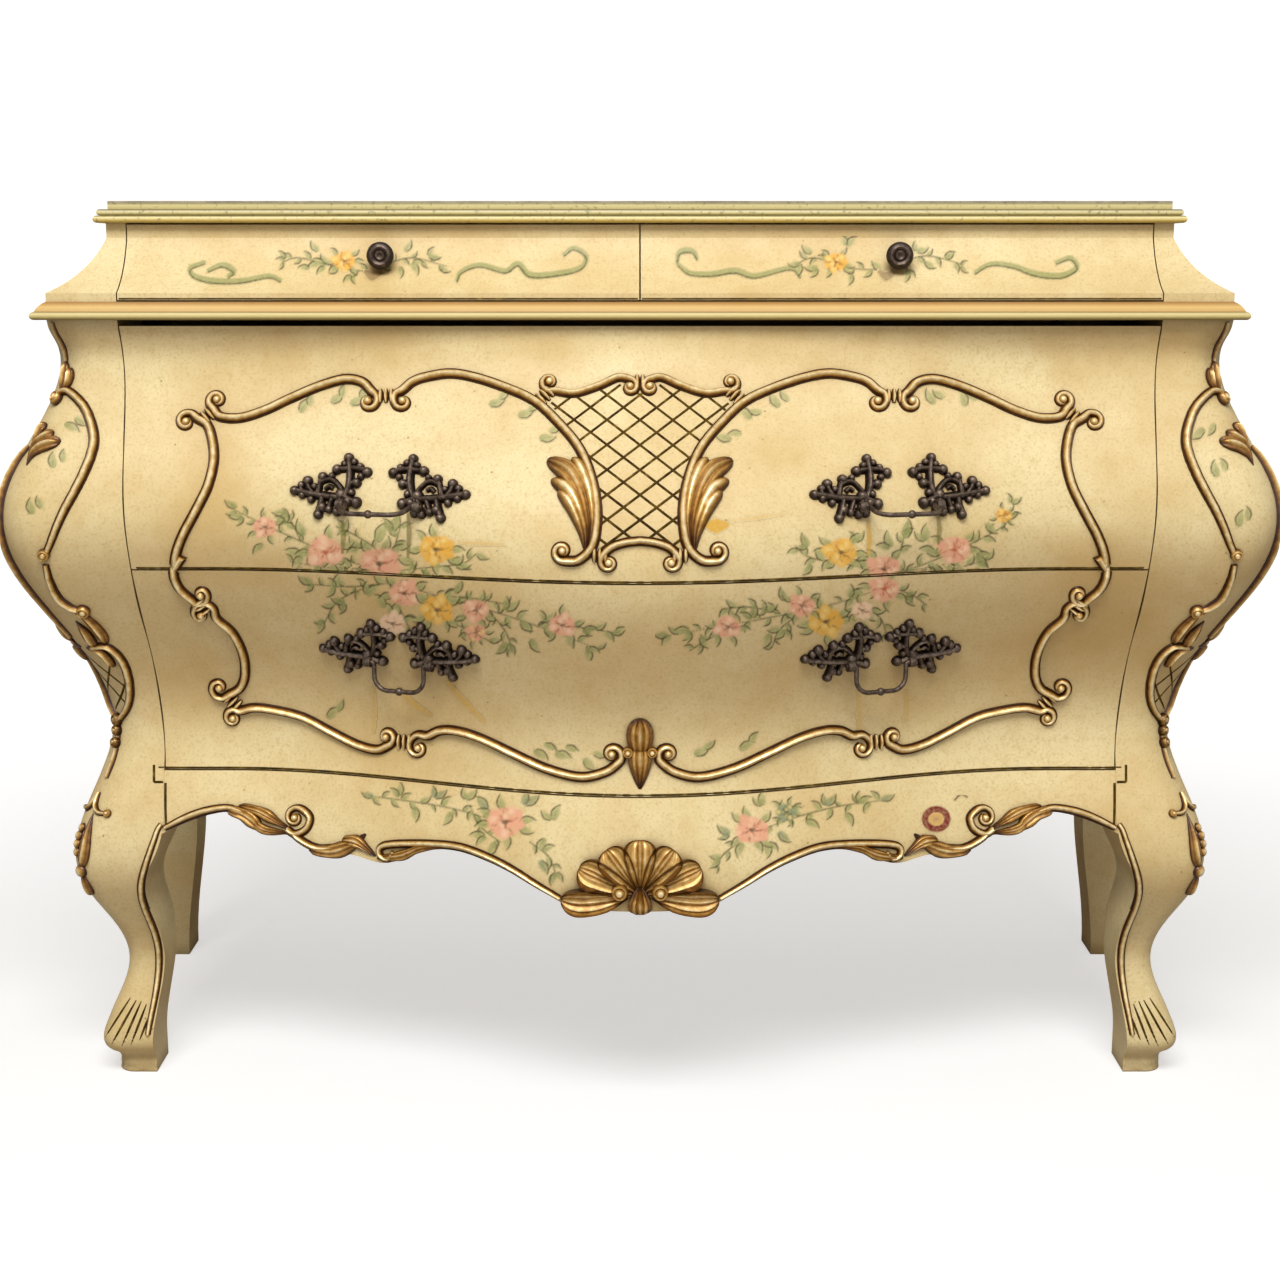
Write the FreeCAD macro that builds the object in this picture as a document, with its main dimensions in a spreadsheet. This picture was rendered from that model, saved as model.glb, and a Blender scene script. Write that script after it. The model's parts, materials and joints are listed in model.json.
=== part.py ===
"""Painted bombe chest: two frieze drawers over two swelling drawers, on cabriole legs.

Millimetres. +Z is up, the front faces -Y, and the origin is under the middle of the chest, on the floor.
"""
import FreeCAD, Part
import math
import os

Vector = FreeCAD.Vector
TURN_TO_FRONT = FreeCAD.Rotation(Vector(1, 0, 0), 90)

# Driving sizes
SIZES = {
    # heights of the stack
    "chest_height": 888,
    "top_thick": 21,
    "frieze_height": 74,
    "waist_thick": 17,
    "waist_gap": 6,
    "split_height": 541,
    "apron_line": 326,
    # plan of the case
    "case_half_width": 568,
    "case_depth": 424,
    "post_top_wide": 70,
    "post_foot_wide": 88,
    "post_spare": 8,
    "rear_leg_thick": 50,
    "panel_thick": 18,
    "panel_arch_rise": 24,
    "back_thick": 10,
    "shelf_thick": 15,
    # outline of the side and of the posts, from neck to floor
    "crown_out": 9,
    "neck_drop": 36,
    "swell_height": 586,
    "swell_out": 50,
    "narrow_height": 370,
    "narrow_in": 26,
    "knee_height": 238,
    "knee_out": 7,
    "ankle_height": 118,
    "ankle_in": 34,
    "toe_height": 34,
    "toe_out": -10,
    "pad_height": 14,
    "pad_in": 23,
    # inner outline of the front legs and their depth behind the neck
    "leg_joint_height": 266,
    "calf_height": 208,
    "calf_wide": 65,
    "calf_deep": 96,
    "shin_height": 130,
    "shin_wide": 75,
    "shin_deep": 86,
    "heel_height": 28,
    "heel_wide": 64,
    "heel_deep": 72,
    # rear legs, which lean out a little to the floor
    "rear_calf_height": 185,
    "rear_calf_wide": 42,
    "rear_foot_out": 18,
    "rear_foot_wide": 36,
    "post_corner": 45,
    "ankle_corner": 18,
    # serpentine bow of the front
    "bow_depth": 104,
    "bow_margin": 65,
    "bow_full_height": 400,
    "front_thick": 22,
    # top, frieze and waist mouldings
    "waist_side_overhang": 10,
    "waist_front_overhang": 22,
    "waist_cove": 13,
    "waist_bead": 7.5,
    "waist_cove_in": 5.9,
    "waist_cove_drop": 1,
    "frieze_hollow_depth": 48,
    "frieze_band": 14,
    "frieze_fillet": 8,
    "hollow_sag": 4.5,
    "top_overhang": 10,
    "top_step": 12,
    "top_torus": 7,
    "top_bead": 6,
    "frieze_front_thick": 18,
    "divider_thick": 16,
    # drawer boxes and their clearances
    "front_gap": 1.5,
    "side_gap": 1.2,
    "run_play": 0.3,
    "side_thick": 12,
    "bottom_thick": 6,
    "bottom_rise": 8,
    "box_drop": 24,
    "box_inset": 6,
    "box_back_room": 12,
    "guide_high": 30,
    "guide_wide": 14,
    # knobs
    "knob_drop": 31,
    "knob_radius": 13,
    "knob_deep": 8,
    "knob_neck_radius": 5,
    "knob_stand": 16,
    "shank_radius": 2.5,
    "shank_play": 0.1,
    "nut_radius": 5,
    "nut_thick": 3,
    # handles
    "upper_pull_from_middle": 244,
    "upper_pull_share": 0.288,
    "upper_pull_span": 76,
    "upper_pull_lift": 80,
    "lower_pull_from_middle": 233,
    "lower_pull_share": 0.572,
    "lower_pull_span": 66,
    "lower_pull_lift": 0,
    "plate_thick": 3.5,
    "plate_seat": 0.1,
    "eye_radius": 5,
    "eye_long": 7,
    "eye_stand": 10,
    "bail_radius": 2.3,
    "bail_drop": 27,
    "bail_play": 0.1,
    "bail_bend": 14,
    "bail_pin_bend": 3.2,
    "bail_knuckle": 4,
    # shell at the middle of the apron
    "shell_root_drop": 105,
    "shell_deep": 10,
    # gilt mouldings laid on the fronts
    "moulding_wide": 9,
    "moulding_high": 5,
    "moulding_eye": 6,
    "moulding_leaf_wide": 28,
    "glue_line": 0.3,
}

# Width of half the opening's foot and heights of the large drawers that the outlines below were drawn for
DRAWN_HALF = 480
DRAWN_UPPER = 229
DRAWN_LOWER = 215
# Lower edge of the apron from the middle outwards: distance from the middle, drop below the apron line
APRON_EDGE = [(66, 105), (127, 72), (167, 60), (208, 61), (255, 79), (290, 74), (323, 76), (348, 61),
              (383, 58), (410, 40), (440, 42)]
APRON_MIDDLE_DROP = 106
# Leaves of a handle plate on the outer side of its post: angle from outwards, length, width
PLATE_LEAVES = [(-14, 30, 13), (12, 50, 17), (48, 36, 17), (78, 44, 16), (102, 46, 14), (130, 43, 15),
                (165, 24, 12)]
# Lobes of the shell on one side: angle from upright, length, width
SHELL_LOBES = [(0, 66, 30), (34, 66, 32), (64, 68, 30), (98, 76, 26)]
# Strokes of the mouldings on one side: distance from the middle, height above the foot of the drawer
UPPER_STROKES = [
    [(434, 137), (418, 135), (409, 119), (408, 102), (413, 77), (425, 54), (437, 32), (444, 15), (446, 7)],
    [(407, 159), (403, 146), (390, 142), (360, 149), (330, 163), (285, 178), (266, 177), (257, 168),
     (260, 158)],
    [(226, 159), (224, 170), (210, 180), (182, 184), (157, 181), (128, 172), (100, 159), (75, 139), (56, 117),
     (44, 91), (40, 66), (41, 44), (50, 28), (66, 27)],
    [(86, 173), (79, 167), (62, 166), (42, 172), (24, 179), (11, 178)],
    [(32, 20), (26, 31), (9, 38)],
]
UPPER_LEAVES = [[(86, 110), (74, 92), (65, 70), (62, 46)]]
LOWER_STROKES = [
    [(446, 203), (442, 196), (436, 189), (427, 186)],
    [(428, 171), (414, 166), (401, 151), (394, 129), (395, 106), (403, 88), (416, 81)],
    [(411, 57), (400, 63), (375, 66), (340, 58), (309, 44), (283, 33), (265, 30), (252, 36)],
    [(215, 42), (204, 53), (180, 57), (155, 52), (125, 41), (91, 28), (57, 21), (34, 25), (22, 36)],
]
LOWER_LEAVES = [[(0, 79), (0, 46), (0, 14)]]
# Carving along the apron's edge: distance from the middle, height above the apron line
APRON_STROKES = [
    [(468, -48), (452, -41), (432, -36), (408, -36), (392, -43), (380, -53)],
    [(346, -44), (350, -53), (338, -62), (316, -66), (296, -64), (282, -56)],
    [(256, -64), (236, -59), (206, -53), (166, -52), (126, -63), (94, -79)],
]

doc = FreeCAD.newDocument("bombe_chest")
sheet = doc.addObject("Spreadsheet::Sheet", "Size")
nodes = {}


def put(alias, value):
    """Write a named value into the next row of the sheet."""
    row = put.next_row
    put.next_row += 1
    sheet.set(f"A{row}", alias)
    sheet.set(f"B{row}", str(value))
    sheet.setAlias(f"B{row}", alias)
    sheet.recompute()


put.next_row = 1
for alias, value in SIZES.items():
    put(alias, value)


def size(alias):
    """Read a named value from the sheet."""
    return float(sheet.get(alias))


# Outline of the case

def swing(stations, z):
    """Value at height z of a line that swings smoothly between stations, listed from the top down."""
    for (high, start), (low, end) in zip(stations, stations[1:]):
        if z >= low:
            share = min(max((high - z) / (high - low), 0), 1)
            return start + (end - start) * (1 - math.cos(math.pi * share)) / 2
    return stations[-1][1]


frieze_top = size("chest_height") - size("top_thick")
frieze_base = frieze_top - size("frieze_height")
body_top = frieze_base - size("waist_thick")
drawer_top = body_top - size("waist_gap")
put("frieze_top", frieze_top)
put("frieze_base", frieze_base)
put("body_top", body_top)
put("drawer_top", drawer_top)
case_half = size("case_half_width")
put("opening_top_half", case_half - size("post_top_wide"))
put("opening_foot_half", case_half - size("post_foot_wide"))

OUTSET = [(body_top, size("crown_out")), (body_top - size("neck_drop"), 0),
          (size("swell_height"), size("swell_out")),
          (size("narrow_height"), -size("narrow_in")), (size("knee_height"), size("knee_out")),
          (size("ankle_height"), -size("ankle_in")), (size("toe_height"), size("toe_out")),
          (size("pad_height"), -size("pad_in")), (0, -size("pad_in"))]
LEG_INSIDE = [(size("leg_joint_height"), size("opening_foot_half"))]
LEG_BACK = [(size("leg_joint_height"), size("post_foot_wide") + size("post_spare"))]
for station in ("calf", "shin", "heel"):
    LEG_INSIDE.append((size(f"{station}_height"), case_half - size(f"{station}_wide")))
    LEG_BACK.append((size(f"{station}_height"), size(f"{station}_deep")))
LEG_INSIDE.append((0, LEG_INSIDE[-1][1]))
REAR_OUTSET = [(z, out) for z, out in OUTSET if z >= size("knee_height")] + [(0, size("rear_foot_out"))]
REAR_INSIDE = [(size("leg_joint_height"), size("opening_foot_half")),
               (size("rear_calf_height"), case_half + size("knee_out") - size("rear_calf_wide")),
               (0, case_half + size("rear_foot_out") - size("rear_foot_wide"))]
CORNER = [(size("narrow_height"), size("post_corner")), (size("ankle_height"), size("ankle_corner"))]
CORNER_LIMIT = 0.9
DIAGONAL = math.sqrt(0.5)


def outset(z):
    """How far the case stands out beyond its neck at height z."""
    return swing(OUTSET, z)


def side_x(z):
    return case_half + outset(z)


def opening_half(z):
    """Half width of the drawer opening, which narrows steadily towards the apron."""
    top, foot = size("opening_top_half"), size("opening_foot_half")
    share = (drawer_top - z) / (drawer_top - size("apron_line"))
    return top + (foot - top) * min(share, 1)


def inside_x(z):
    """Inner outline of a front post and its leg."""
    return opening_half(z) if z > size("apron_line") else swing(LEG_INSIDE, z)


def bow(z):
    share = (drawer_top - z) / (drawer_top - size("bow_full_height"))
    return size("bow_depth") * math.sin(math.pi / 2 * min(max(share, 0), 1))


def reach(x, z):
    """How far the front stands before the neck plane, at x and z."""
    across = min(abs(x) / (size("opening_foot_half") - size("bow_margin")), 1)
    return outset(z) + bow(z) * (1 + math.cos(math.pi * across)) / 2


front_reach = max(reach(0, z) for z in range(int(size("apron_line")), int(drawer_top)))
stroke_reach = max(reach(x, size("split_height") + rise) for stroke in UPPER_STROKES for x, rise in stroke)
front_most = max(front_reach, stroke_reach + size("glue_line") + size("moulding_eye"))
back_y = (size("case_depth") + front_most) / 2
neck_y = back_y - size("case_depth")
post_back_y = neck_y + size("post_foot_wide")
rear_leg_y = back_y - size("rear_leg_thick")
put("back_y", back_y)
put("neck_y", neck_y)
put("post_back_y", post_back_y)
put("rear_leg_y", rear_leg_y)


def front_y(x, z):
    return neck_y - reach(x, z)


# Makers of document objects

def node(name, item):
    """Name a finished piece of the chest."""
    item.Label = name
    nodes[name] = item
    return item


def feature(name, shape):
    item = doc.addObject("Part::Feature", name)
    item.Shape = shape
    return item


def board(name, x, y, z):
    """A plain board between two expressions along each axis."""
    item = doc.addObject("Part::Box", name)
    for side, axis, (low, high) in zip(("Length", "Width", "Height"), "xyz", (x, y, z)):
        item.setExpression(side, f"({high}) - ({low})")
        item.setExpression(f"Placement.Base.{axis}", low)
    return item


def outline(name, edges):
    """A closed flat face, the base of an extrusion."""
    return feature(name, Part.Face(Part.Wire(Part.__sortEdges__(edges))))


def extruded(name, base, direction, length):
    item = doc.addObject("Part::Extrusion", name)
    item.Base = base
    item.DirMode = "Custom"
    item.Dir = direction
    item.Solid = True
    item.setExpression("LengthFwd", length)
    return item


def combined(kind, name, base, tool):
    """A boolean of two objects: Part::Cut or Part::Common."""
    item = doc.addObject(kind, name)
    item.Base = base
    item.Tool = tool
    return item


def gathered(name, items):
    """Several objects held as one group of separate solids."""
    item = doc.addObject("Part::Compound", name)
    item.Links = items
    return item


def joined(name, items):
    item = doc.addObject("Part::MultiFuse", name)
    item.Shapes = items
    return item


def rod(name, radius, length, base, rotation):
    """A cylinder whose radius and length are expressions."""
    item = doc.addObject("Part::Cylinder", name)
    item.setExpression("Radius", radius)
    item.setExpression("Height", length)
    item.Placement = FreeCAD.Placement(base, rotation)
    return item


def line(start, end):
    return Part.LineSegment(start, end).toShape()


def arc(start, middle, end):
    return Part.Arc(start, middle, end).toShape()


def curve(points):
    """A smooth edge through a few points."""
    spline = Part.BSplineCurve()
    spline.interpolate(points)
    return spline.toShape()


def loop(corners):
    """Straight edges round a closed list of corners."""
    return [line(a, b) for a, b in zip(corners, corners[1:] + corners[:1])]


SIDES = {"left": -1, "right": 1}

# Front legs: corner posts that run down into cabriole legs, with spare wood sawn flat at the side panels
SPAN_STEPS = 4
FAR = 300


def leg_levels():
    """Heights of the leg's sections: every station of the outline and steps between them."""
    heights = [z for z, _ in OUTSET]
    levels = []
    for high, low in zip(heights, heights[1:]):
        levels += [high + (low - high) * step / SPAN_STEPS for step in range(SPAN_STEPS)]
    return levels + [0]


def leg_section(sign, z):
    inner, outer, front = inside_x(z), side_x(z), neck_y - outset(z)
    back = neck_y + swing(LEG_BACK, z)
    corner = min(swing(CORNER, z), CORNER_LIMIT * (outer - inner))
    bend = corner * (1 - DIAGONAL)
    points = [(inner, front), (outer - corner, front), (outer - bend, front + bend),
              (outer, front + corner), (outer, back), (inner, back)]
    a, b, m, c, d, e = [Vector(sign * x, y, z) for x, y in points]
    return Part.Wire([line(a, b), arc(b, m, c), line(c, d), line(d, e), line(e, a)])


before_panels = Part.makeBox(2 * case_half + 2 * FAR, 2 * FAR, body_top,
                             Vector(-case_half - FAR, post_back_y - 2 * FAR, 0))
for side, sign in SIDES.items():
    sections = [leg_section(sign, z) for z in leg_levels()]
    leg = Part.makeLoft(sections, True).common(before_panels)
    node(f"front_leg_{side}", feature(f"front_leg_{side}", leg))


# Rear legs and side panels: the side outline carried straight back
OUTLINE_STEP = 30
LEAST_STEPS = 4
INSIDE_STEPS = 12


def side_points(sign, y, low, high, inset, stations):
    steps = max(int((high - low) / OUTLINE_STEP), LEAST_STEPS)
    heights = [high + (low - high) * i / steps for i in range(steps + 1)]
    return [Vector(sign * (case_half + swing(stations, z) - inset), y, z) for z in heights]


def rear_leg(side, sign):
    joint = size("leg_joint_height")
    outer = side_points(sign, rear_leg_y, 0, body_top, 0, REAR_OUTSET)
    inner = [Vector(sign * swing(REAR_INSIDE, z), rear_leg_y, z)
             for z in (joint * i / INSIDE_STEPS for i in range(INSIDE_STEPS + 1))]
    top_inside = Vector(sign * size("opening_foot_half"), rear_leg_y, body_top)
    edges = [curve(outer), line(outer[-1], inner[0]), curve(inner), line(inner[-1], top_inside),
             line(top_inside, outer[0])]
    base = outline(f"rear_leg_outline_{side}", edges)
    return extruded(f"rear_leg_{side}", base, Vector(0, 1, 0), "Size.rear_leg_thick")


def side_panel(side, sign):
    low = size("leg_joint_height")
    outer = side_points(sign, post_back_y, low, body_top, 0, OUTSET)
    inner = side_points(sign, post_back_y, low, body_top, size("panel_thick"), OUTSET)
    inner.reverse()
    edges = [curve(outer), line(outer[-1], inner[0]), curve(inner), line(inner[-1], outer[0])]
    base = outline(f"side_panel_outline_{side}", edges)
    slab = extruded(f"side_panel_slab_{side}", base, Vector(0, 1, 0), "Size.rear_leg_y - Size.post_back_y")
    ends = [Vector(0, y, low) for y in (post_back_y, rear_leg_y)]
    crown = Vector(0, (post_back_y + rear_leg_y) / 2, low + size("panel_arch_rise"))
    arch_face = outline(f"side_arch_outline_{side}", [arc(ends[0], crown, ends[1]), line(ends[1], ends[0])])
    arch = extruded(f"side_arch_{side}", arch_face, Vector(sign, 0, 0),
                    "Size.case_half_width + Size.swell_out")
    return combined("Part::Cut", f"side_panel_{side}", slab, arch)


for side, sign in SIDES.items():
    node(f"rear_leg_{side}", rear_leg(side, sign))
    node(f"side_panel_{side}", side_panel(side, sign))

# Bombe front: one double-curved skin shared by the drawers and the apron
SKIN_MARGIN = 14
SKIN_COLUMNS = 25
SKIN_ROWS = 25


def skin(shift):
    """The front surface as one face, moved back by shift."""
    half = size("opening_top_half") + SKIN_MARGIN
    low = size("apron_line") - APRON_MIDDLE_DROP - SKIN_MARGIN
    rows = []
    for row in range(SKIN_ROWS):
        z = low + (body_top - low) * row / (SKIN_ROWS - 1)
        xs = [half * (2 * column / (SKIN_COLUMNS - 1) - 1) for column in range(SKIN_COLUMNS)]
        rows.append([Vector(x, front_y(x, z) + shift, z) for x in xs])
    surface = Part.BSplineSurface()
    surface.interpolate(rows)
    return surface.toShape()


thick = size("front_thick")
front_slab = feature("front_slab", skin(0).extrude(Vector(0, thick, 0)))
space_before_front = feature("space_before_front", skin(-FAR).extrude(Vector(0, FAR, 0)))
space_before_boxes = feature("space_before_boxes", skin(-FAR).extrude(Vector(0, FAR + thick, 0)))
plate_gap = size("plate_seat")
plate_slab = feature("plate_slab", skin(-plate_gap).extrude(Vector(0, -size("plate_thick"), 0)))


def front_prism(name, edges):
    """An outline drawn before the chest and carried back through the front."""
    return extruded(name, outline(f"{name}_outline", edges), Vector(0, 1, 0), f"{2 * FAR}")


def drawer_outline(low, high):
    gap = size("side_gap")
    half_low, half_high = opening_half(low) - gap, opening_half(high) - gap
    return loop([Vector(-half_low, neck_y - FAR, low), Vector(half_low, neck_y - FAR, low),
                 Vector(half_high, neck_y - FAR, high), Vector(-half_high, neck_y - FAR, high)])


# Apron between the legs, with its shaped lower edge

def apron_outline():
    line_z, half, y = size("apron_line"), size("opening_foot_half") + SKIN_MARGIN, neck_y - FAR
    joint = line_z - size("leg_joint_height")
    stretch = size("opening_foot_half") / DRAWN_HALF
    edge = [(x * stretch, drop) for x, drop in APRON_EDGE] + [(size("opening_foot_half"), joint)]
    right = [Vector(x, y, line_z - drop) for x, drop in edge]
    left = [Vector(-x, y, line_z - drop) for x, drop in reversed(edge)]
    ends = [Vector(half, y, line_z - joint), Vector(half, y, line_z), Vector(-half, y, line_z),
            Vector(-half, y, line_z - joint)]
    bottom = curve(left[-1:] + [Vector(0, y, line_z - APRON_MIDDLE_DROP)] + right[:1])
    return [curve(right), line(right[-1], ends[0]), line(ends[0], ends[1]), line(ends[1], ends[2]),
            line(ends[2], ends[3]), line(ends[3], left[0]), curve(left), bottom]


legs = gathered("front_legs", [nodes["front_leg_left"], nodes["front_leg_right"]])
apron_blank = combined("Part::Common", "apron_blank", front_slab, front_prism("apron_prism", apron_outline()))
node("apron", combined("Part::Cut", "apron", apron_blank, legs))


LOBE_MIDDLE = 0.55


def shell_lobe(index, sign, angle, length, width):
    """One rounded flute of the shell, from its root outwards."""
    lean = math.radians(angle) * sign
    root = size("apron_line") - size("shell_root_drop")
    reach_out = length * LOBE_MIDDLE
    x, z = reach_out * math.sin(lean), root + reach_out * math.cos(lean)
    item = doc.addObject("Part::Ellipsoid", f"shell_lobe_{index}")
    item.Angle1 = -90
    item.Radius1 = length - reach_out
    item.Radius2 = width / 2
    item.setExpression("Radius3", "Size.shell_deep")
    turn = FreeCAD.Rotation(Vector(0, 1, 0), math.degrees(lean))
    item.Placement = FreeCAD.Placement(Vector(x, front_y(x, z), z), turn)
    return item


lobes = []
for angle, length, width in SHELL_LOBES:
    for sign in ((1,) if angle == 0 else (-1, 1)):
        lobes.append(shell_lobe(len(lobes), sign, angle, length, width))
shell_body = joined("shell_body", lobes)
node("apron_shell", combined("Part::Common", "apron_shell", shell_body, space_before_front))

# Shelves and back
shelf_sides = gathered("shelf_sides", [nodes[f"{piece}_{side}"] for piece in
                                       ("front_leg", "rear_leg", "side_panel") for side in SIDES])
SHELF_CLEAR = 4


def shelf(name, top):
    """A shelf under a drawer, let in between the posts, legs and side panels."""
    low = top - size("shelf_thick")
    half = min(side_x(low), side_x(top)) - size("panel_thick") / 2
    front = neck_y - min(outset(low), outset(top)) + size("front_thick") + SHELF_CLEAR
    put(f"{name}_top", top)
    put(f"{name}_half", half)
    put(f"{name}_front", front)
    blank = board(f"{name}_blank", (f"-Size.{name}_half", f"Size.{name}_half"),
                  (f"Size.{name}_front", "Size.back_y - Size.back_thick"),
                  (f"Size.{name}_top - Size.shelf_thick", f"Size.{name}_top"))
    return combined("Part::Cut", name, blank, shelf_sides)


upper_floor = size("split_height") - size("run_play")
lower_floor = size("apron_line") - size("run_play")
node("dust_board", shelf("dust_board", upper_floor))
node("bottom_board", shelf("bottom_board", lower_floor))
node("back_panel", board("back_panel", ("-Size.opening_foot_half", "Size.opening_foot_half"),
                         ("Size.back_y - Size.back_thick", "Size.back_y"),
                         ("Size.bottom_board_top - Size.shelf_thick", "Size.body_top")))

# Top, frieze and waist: moulded boards, mitred by crossing two extrusions

def edge_line(profile, place):
    """Edges of a moulding: each run of (inward, height) points is a line of two or an arc of three."""
    runs = [[place(inward, z) for inward, z in run] for run in profile]
    return [arc(*run) if len(run) == 3 else line(*run) for run in runs]


def moulded(name, profile, half_width, front):
    """A board whose ends and front carry one edge profile, with a plain back."""
    first, last = profile[0][0], profile[-1][-1]

    def right(inward, z):
        return Vector(half_width - inward, front, z)

    def left(inward, z):
        return Vector(inward - half_width, front, z)

    def near(inward, z):
        return Vector(-half_width, front + inward, z)

    across = edge_line(profile, right) + edge_line(profile, left)
    across += [line(right(*first), left(*first)), line(right(*last), left(*last))]
    back = [Vector(-half_width, back_y, z) for z in (first[1], last[1])]
    along = edge_line(profile, near) + [line(near(*first), back[0]), line(*back), line(near(*last), back[1])]
    put(f"{name}_deep", back_y - front)
    put(f"{name}_wide", 2 * half_width)
    lengthways = extruded(f"{name}_lengthways", outline(f"{name}_across", across), Vector(0, 1, 0),
                          f"Size.{name}_deep")
    crossways = extruded(f"{name}_crossways", outline(f"{name}_along", along), Vector(1, 0, 0),
                         f"Size.{name}_wide")
    return combined("Part::Common", name, lengthways, crossways)


def half_round(inward, low, high):
    """A bead between two heights, whose crest lies inward of the edge."""
    radius = (high - low) / 2
    return [(inward + radius, low), (inward, low + radius), (inward + radius, high)]


cove = size("waist_cove")
waist_half = case_half + size("waist_side_overhang")
waist_front = neck_y - size("waist_front_overhang")
bead_top = body_top + size("waist_bead")
bead_root = size("waist_bead") / 2
waist_edge = [half_round(0, body_top, bead_top),
              [(bead_root, bead_top),
               (size("waist_cove_in"), (bead_top + frieze_base) / 2 - size("waist_cove_drop")),
               (cove, frieze_base)]]
node("waist_board", moulded("waist_board", waist_edge, waist_half, waist_front))

hollow = size("frieze_hollow_depth")
hollow_low = frieze_base + size("frieze_fillet")
hollow_high = frieze_top - size("frieze_band")
sag = size("hollow_sag")
frieze_edge = [[(0, frieze_base), (0, hollow_low)],
               [(0, hollow_low), (hollow / 2 + sag, (hollow_low + hollow_high) / 2 - sag),
                (hollow, hollow_high)],
               [(hollow, hollow_high), (hollow, frieze_top)]]
frieze_half = waist_half - cove
frieze_front = waist_front + cove
frieze = moulded("frieze", frieze_edge, frieze_half, frieze_front)

torus_top = frieze_top + size("top_torus")
bead_up = torus_top + size("top_bead")
top_edge = [half_round(0, frieze_top, torus_top),
            [(size("top_torus") / 2, torus_top), (size("top_step") / 2, torus_top)],
            half_round(size("top_step") / 2 - size("top_bead") / 2, torus_top, bead_up),
            [(size("top_step") / 2, bead_up), (size("top_step"), bead_up)],
            [(size("top_step"), bead_up), (size("top_step"), size("chest_height"))]]
top_half = frieze_half - hollow + size("top_overhang")
top_front = frieze_front + hollow - size("top_overhang")
node("top_board", moulded("top_board", top_edge, top_half, top_front))

# Frieze ends, divider and back
put("frieze_half", frieze_half)
put("frieze_front", frieze_front)
put("frieze_drawer_back", frieze_front + hollow + size("frieze_front_thick"))
FRIEZE_Z = ("Size.frieze_base", "Size.frieze_top")
for side, sign in SIDES.items():
    reach_x = ("Size.opening_top_half", "Size.frieze_half") if sign > 0 else (
        "-Size.frieze_half", "-Size.opening_top_half")
    blank = board(f"frieze_end_blank_{side}", reach_x, ("Size.frieze_front", "Size.back_y"), FRIEZE_Z)
    node(f"frieze_end_{side}", combined("Part::Common", f"frieze_end_{side}", blank, frieze))
node("frieze_divider", board("frieze_divider", ("-Size.divider_thick / 2", "Size.divider_thick / 2"),
                             ("Size.frieze_drawer_back + Size.front_gap", "Size.back_y - Size.back_thick"),
                             FRIEZE_Z))
node("frieze_back", board("frieze_back", ("-Size.opening_top_half", "Size.opening_top_half"),
                          ("Size.back_y - Size.back_thick", "Size.back_y"), FRIEZE_Z))


# Drawer boxes

def drawer_box(name, x, y, z, cutter):
    """Sides, back and bottom of a drawer between limits along each axis; cutter shapes the front ends."""
    for axis, (low, high) in zip("xyz", (x, y, z)):
        put(f"{name}_{axis}_low", low)
        put(f"{name}_{axis}_high", high)
    x_low, x_high, y_low, y_high, z_low, z_high = [
        f"Size.{name}_{axis}_{end}" for axis in "xyz" for end in ("low", "high")]
    within = (f"{x_low} + Size.side_thick", f"{x_high} - Size.side_thick")
    pieces = {
        "side_left": ((x_low, within[0]), (y_low, y_high), (z_low, z_high)),
        "side_right": ((within[1], x_high), (y_low, y_high), (z_low, z_high)),
        "back": (within, (f"{y_high} - Size.side_thick", y_high), (f"{z_low} + Size.bottom_rise", z_high)),
        "bottom": (within, (y_low, f"{y_high} - Size.side_thick"),
                   (f"{z_low} + Size.bottom_rise", f"{z_low} + Size.bottom_rise + Size.bottom_thick")),
    }
    for piece, limits in pieces.items():
        item = board(f"{name}_{piece}", *limits)
        if cutter and piece != "back":
            item.Label = f"{name}_{piece}_blank"
            item = combined("Part::Cut", f"{name}_{piece}_fitted", item, cutter)
        node(f"{name}_{piece}", item)


box_back = back_y - size("back_thick") - size("box_back_room")
inset = size("box_inset")
box_half = size("opening_foot_half") - inset
box_front = neck_y - front_reach
split = size("split_height")
drawer_box("upper_drawer", (-box_half, box_half), (box_front, box_back),
           (split, drawer_top - size("box_drop")), space_before_boxes)
drawer_box("lower_drawer", (-box_half, box_half), (box_front, box_back),
           (size("apron_line"), split - size("shelf_thick") - size("box_drop") / 2), space_before_boxes)
for side, sign in SIDES.items():
    ends = sorted([sign * (size("divider_thick") + inset) / 2, sign * (size("opening_top_half") - inset / 2)])
    drawer_box(f"frieze_drawer_{side}", ends, (size("frieze_drawer_back"), box_back),
               (frieze_base + size("run_play"), hollow_high), None)


# Guide strips beside the large drawers

def guides(name, floor):
    put(f"{name}_inner", box_half + size("side_gap"))
    put(f"{name}_floor", floor)
    inner, outer = f"Size.{name}_inner", f"Size.{name}_inner + Size.guide_wide"
    height = (f"Size.{name}_floor", f"Size.{name}_floor + Size.guide_high")
    depth = ("Size.post_back_y", "Size.rear_leg_y")
    strips = [board(f"{name}_left", (f"-({outer})", f"-{inner}"), depth, height),
              board(f"{name}_right", (inner, outer), depth, height)]
    node(name, gathered(name, strips))


guides("upper_guides", upper_floor)
guides("lower_guides", lower_floor)


# Handles on the large drawers
LEAF_MIDDLE = 0.55


def pull_frame(x, z, span):
    """Placement of a handle: midway between its eyes, with its X axis through both of them."""
    ends = [x - span / 2, x + span / 2]
    eyes = [Vector(end, front_y(end, z) - size("eye_stand"), z) for end in ends]
    turn = FreeCAD.Rotation(Vector(1, 0, 0), eyes[1] - eyes[0])
    return FreeCAD.Placement((eyes[0] + eyes[1]) * 0.5, turn)


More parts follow.
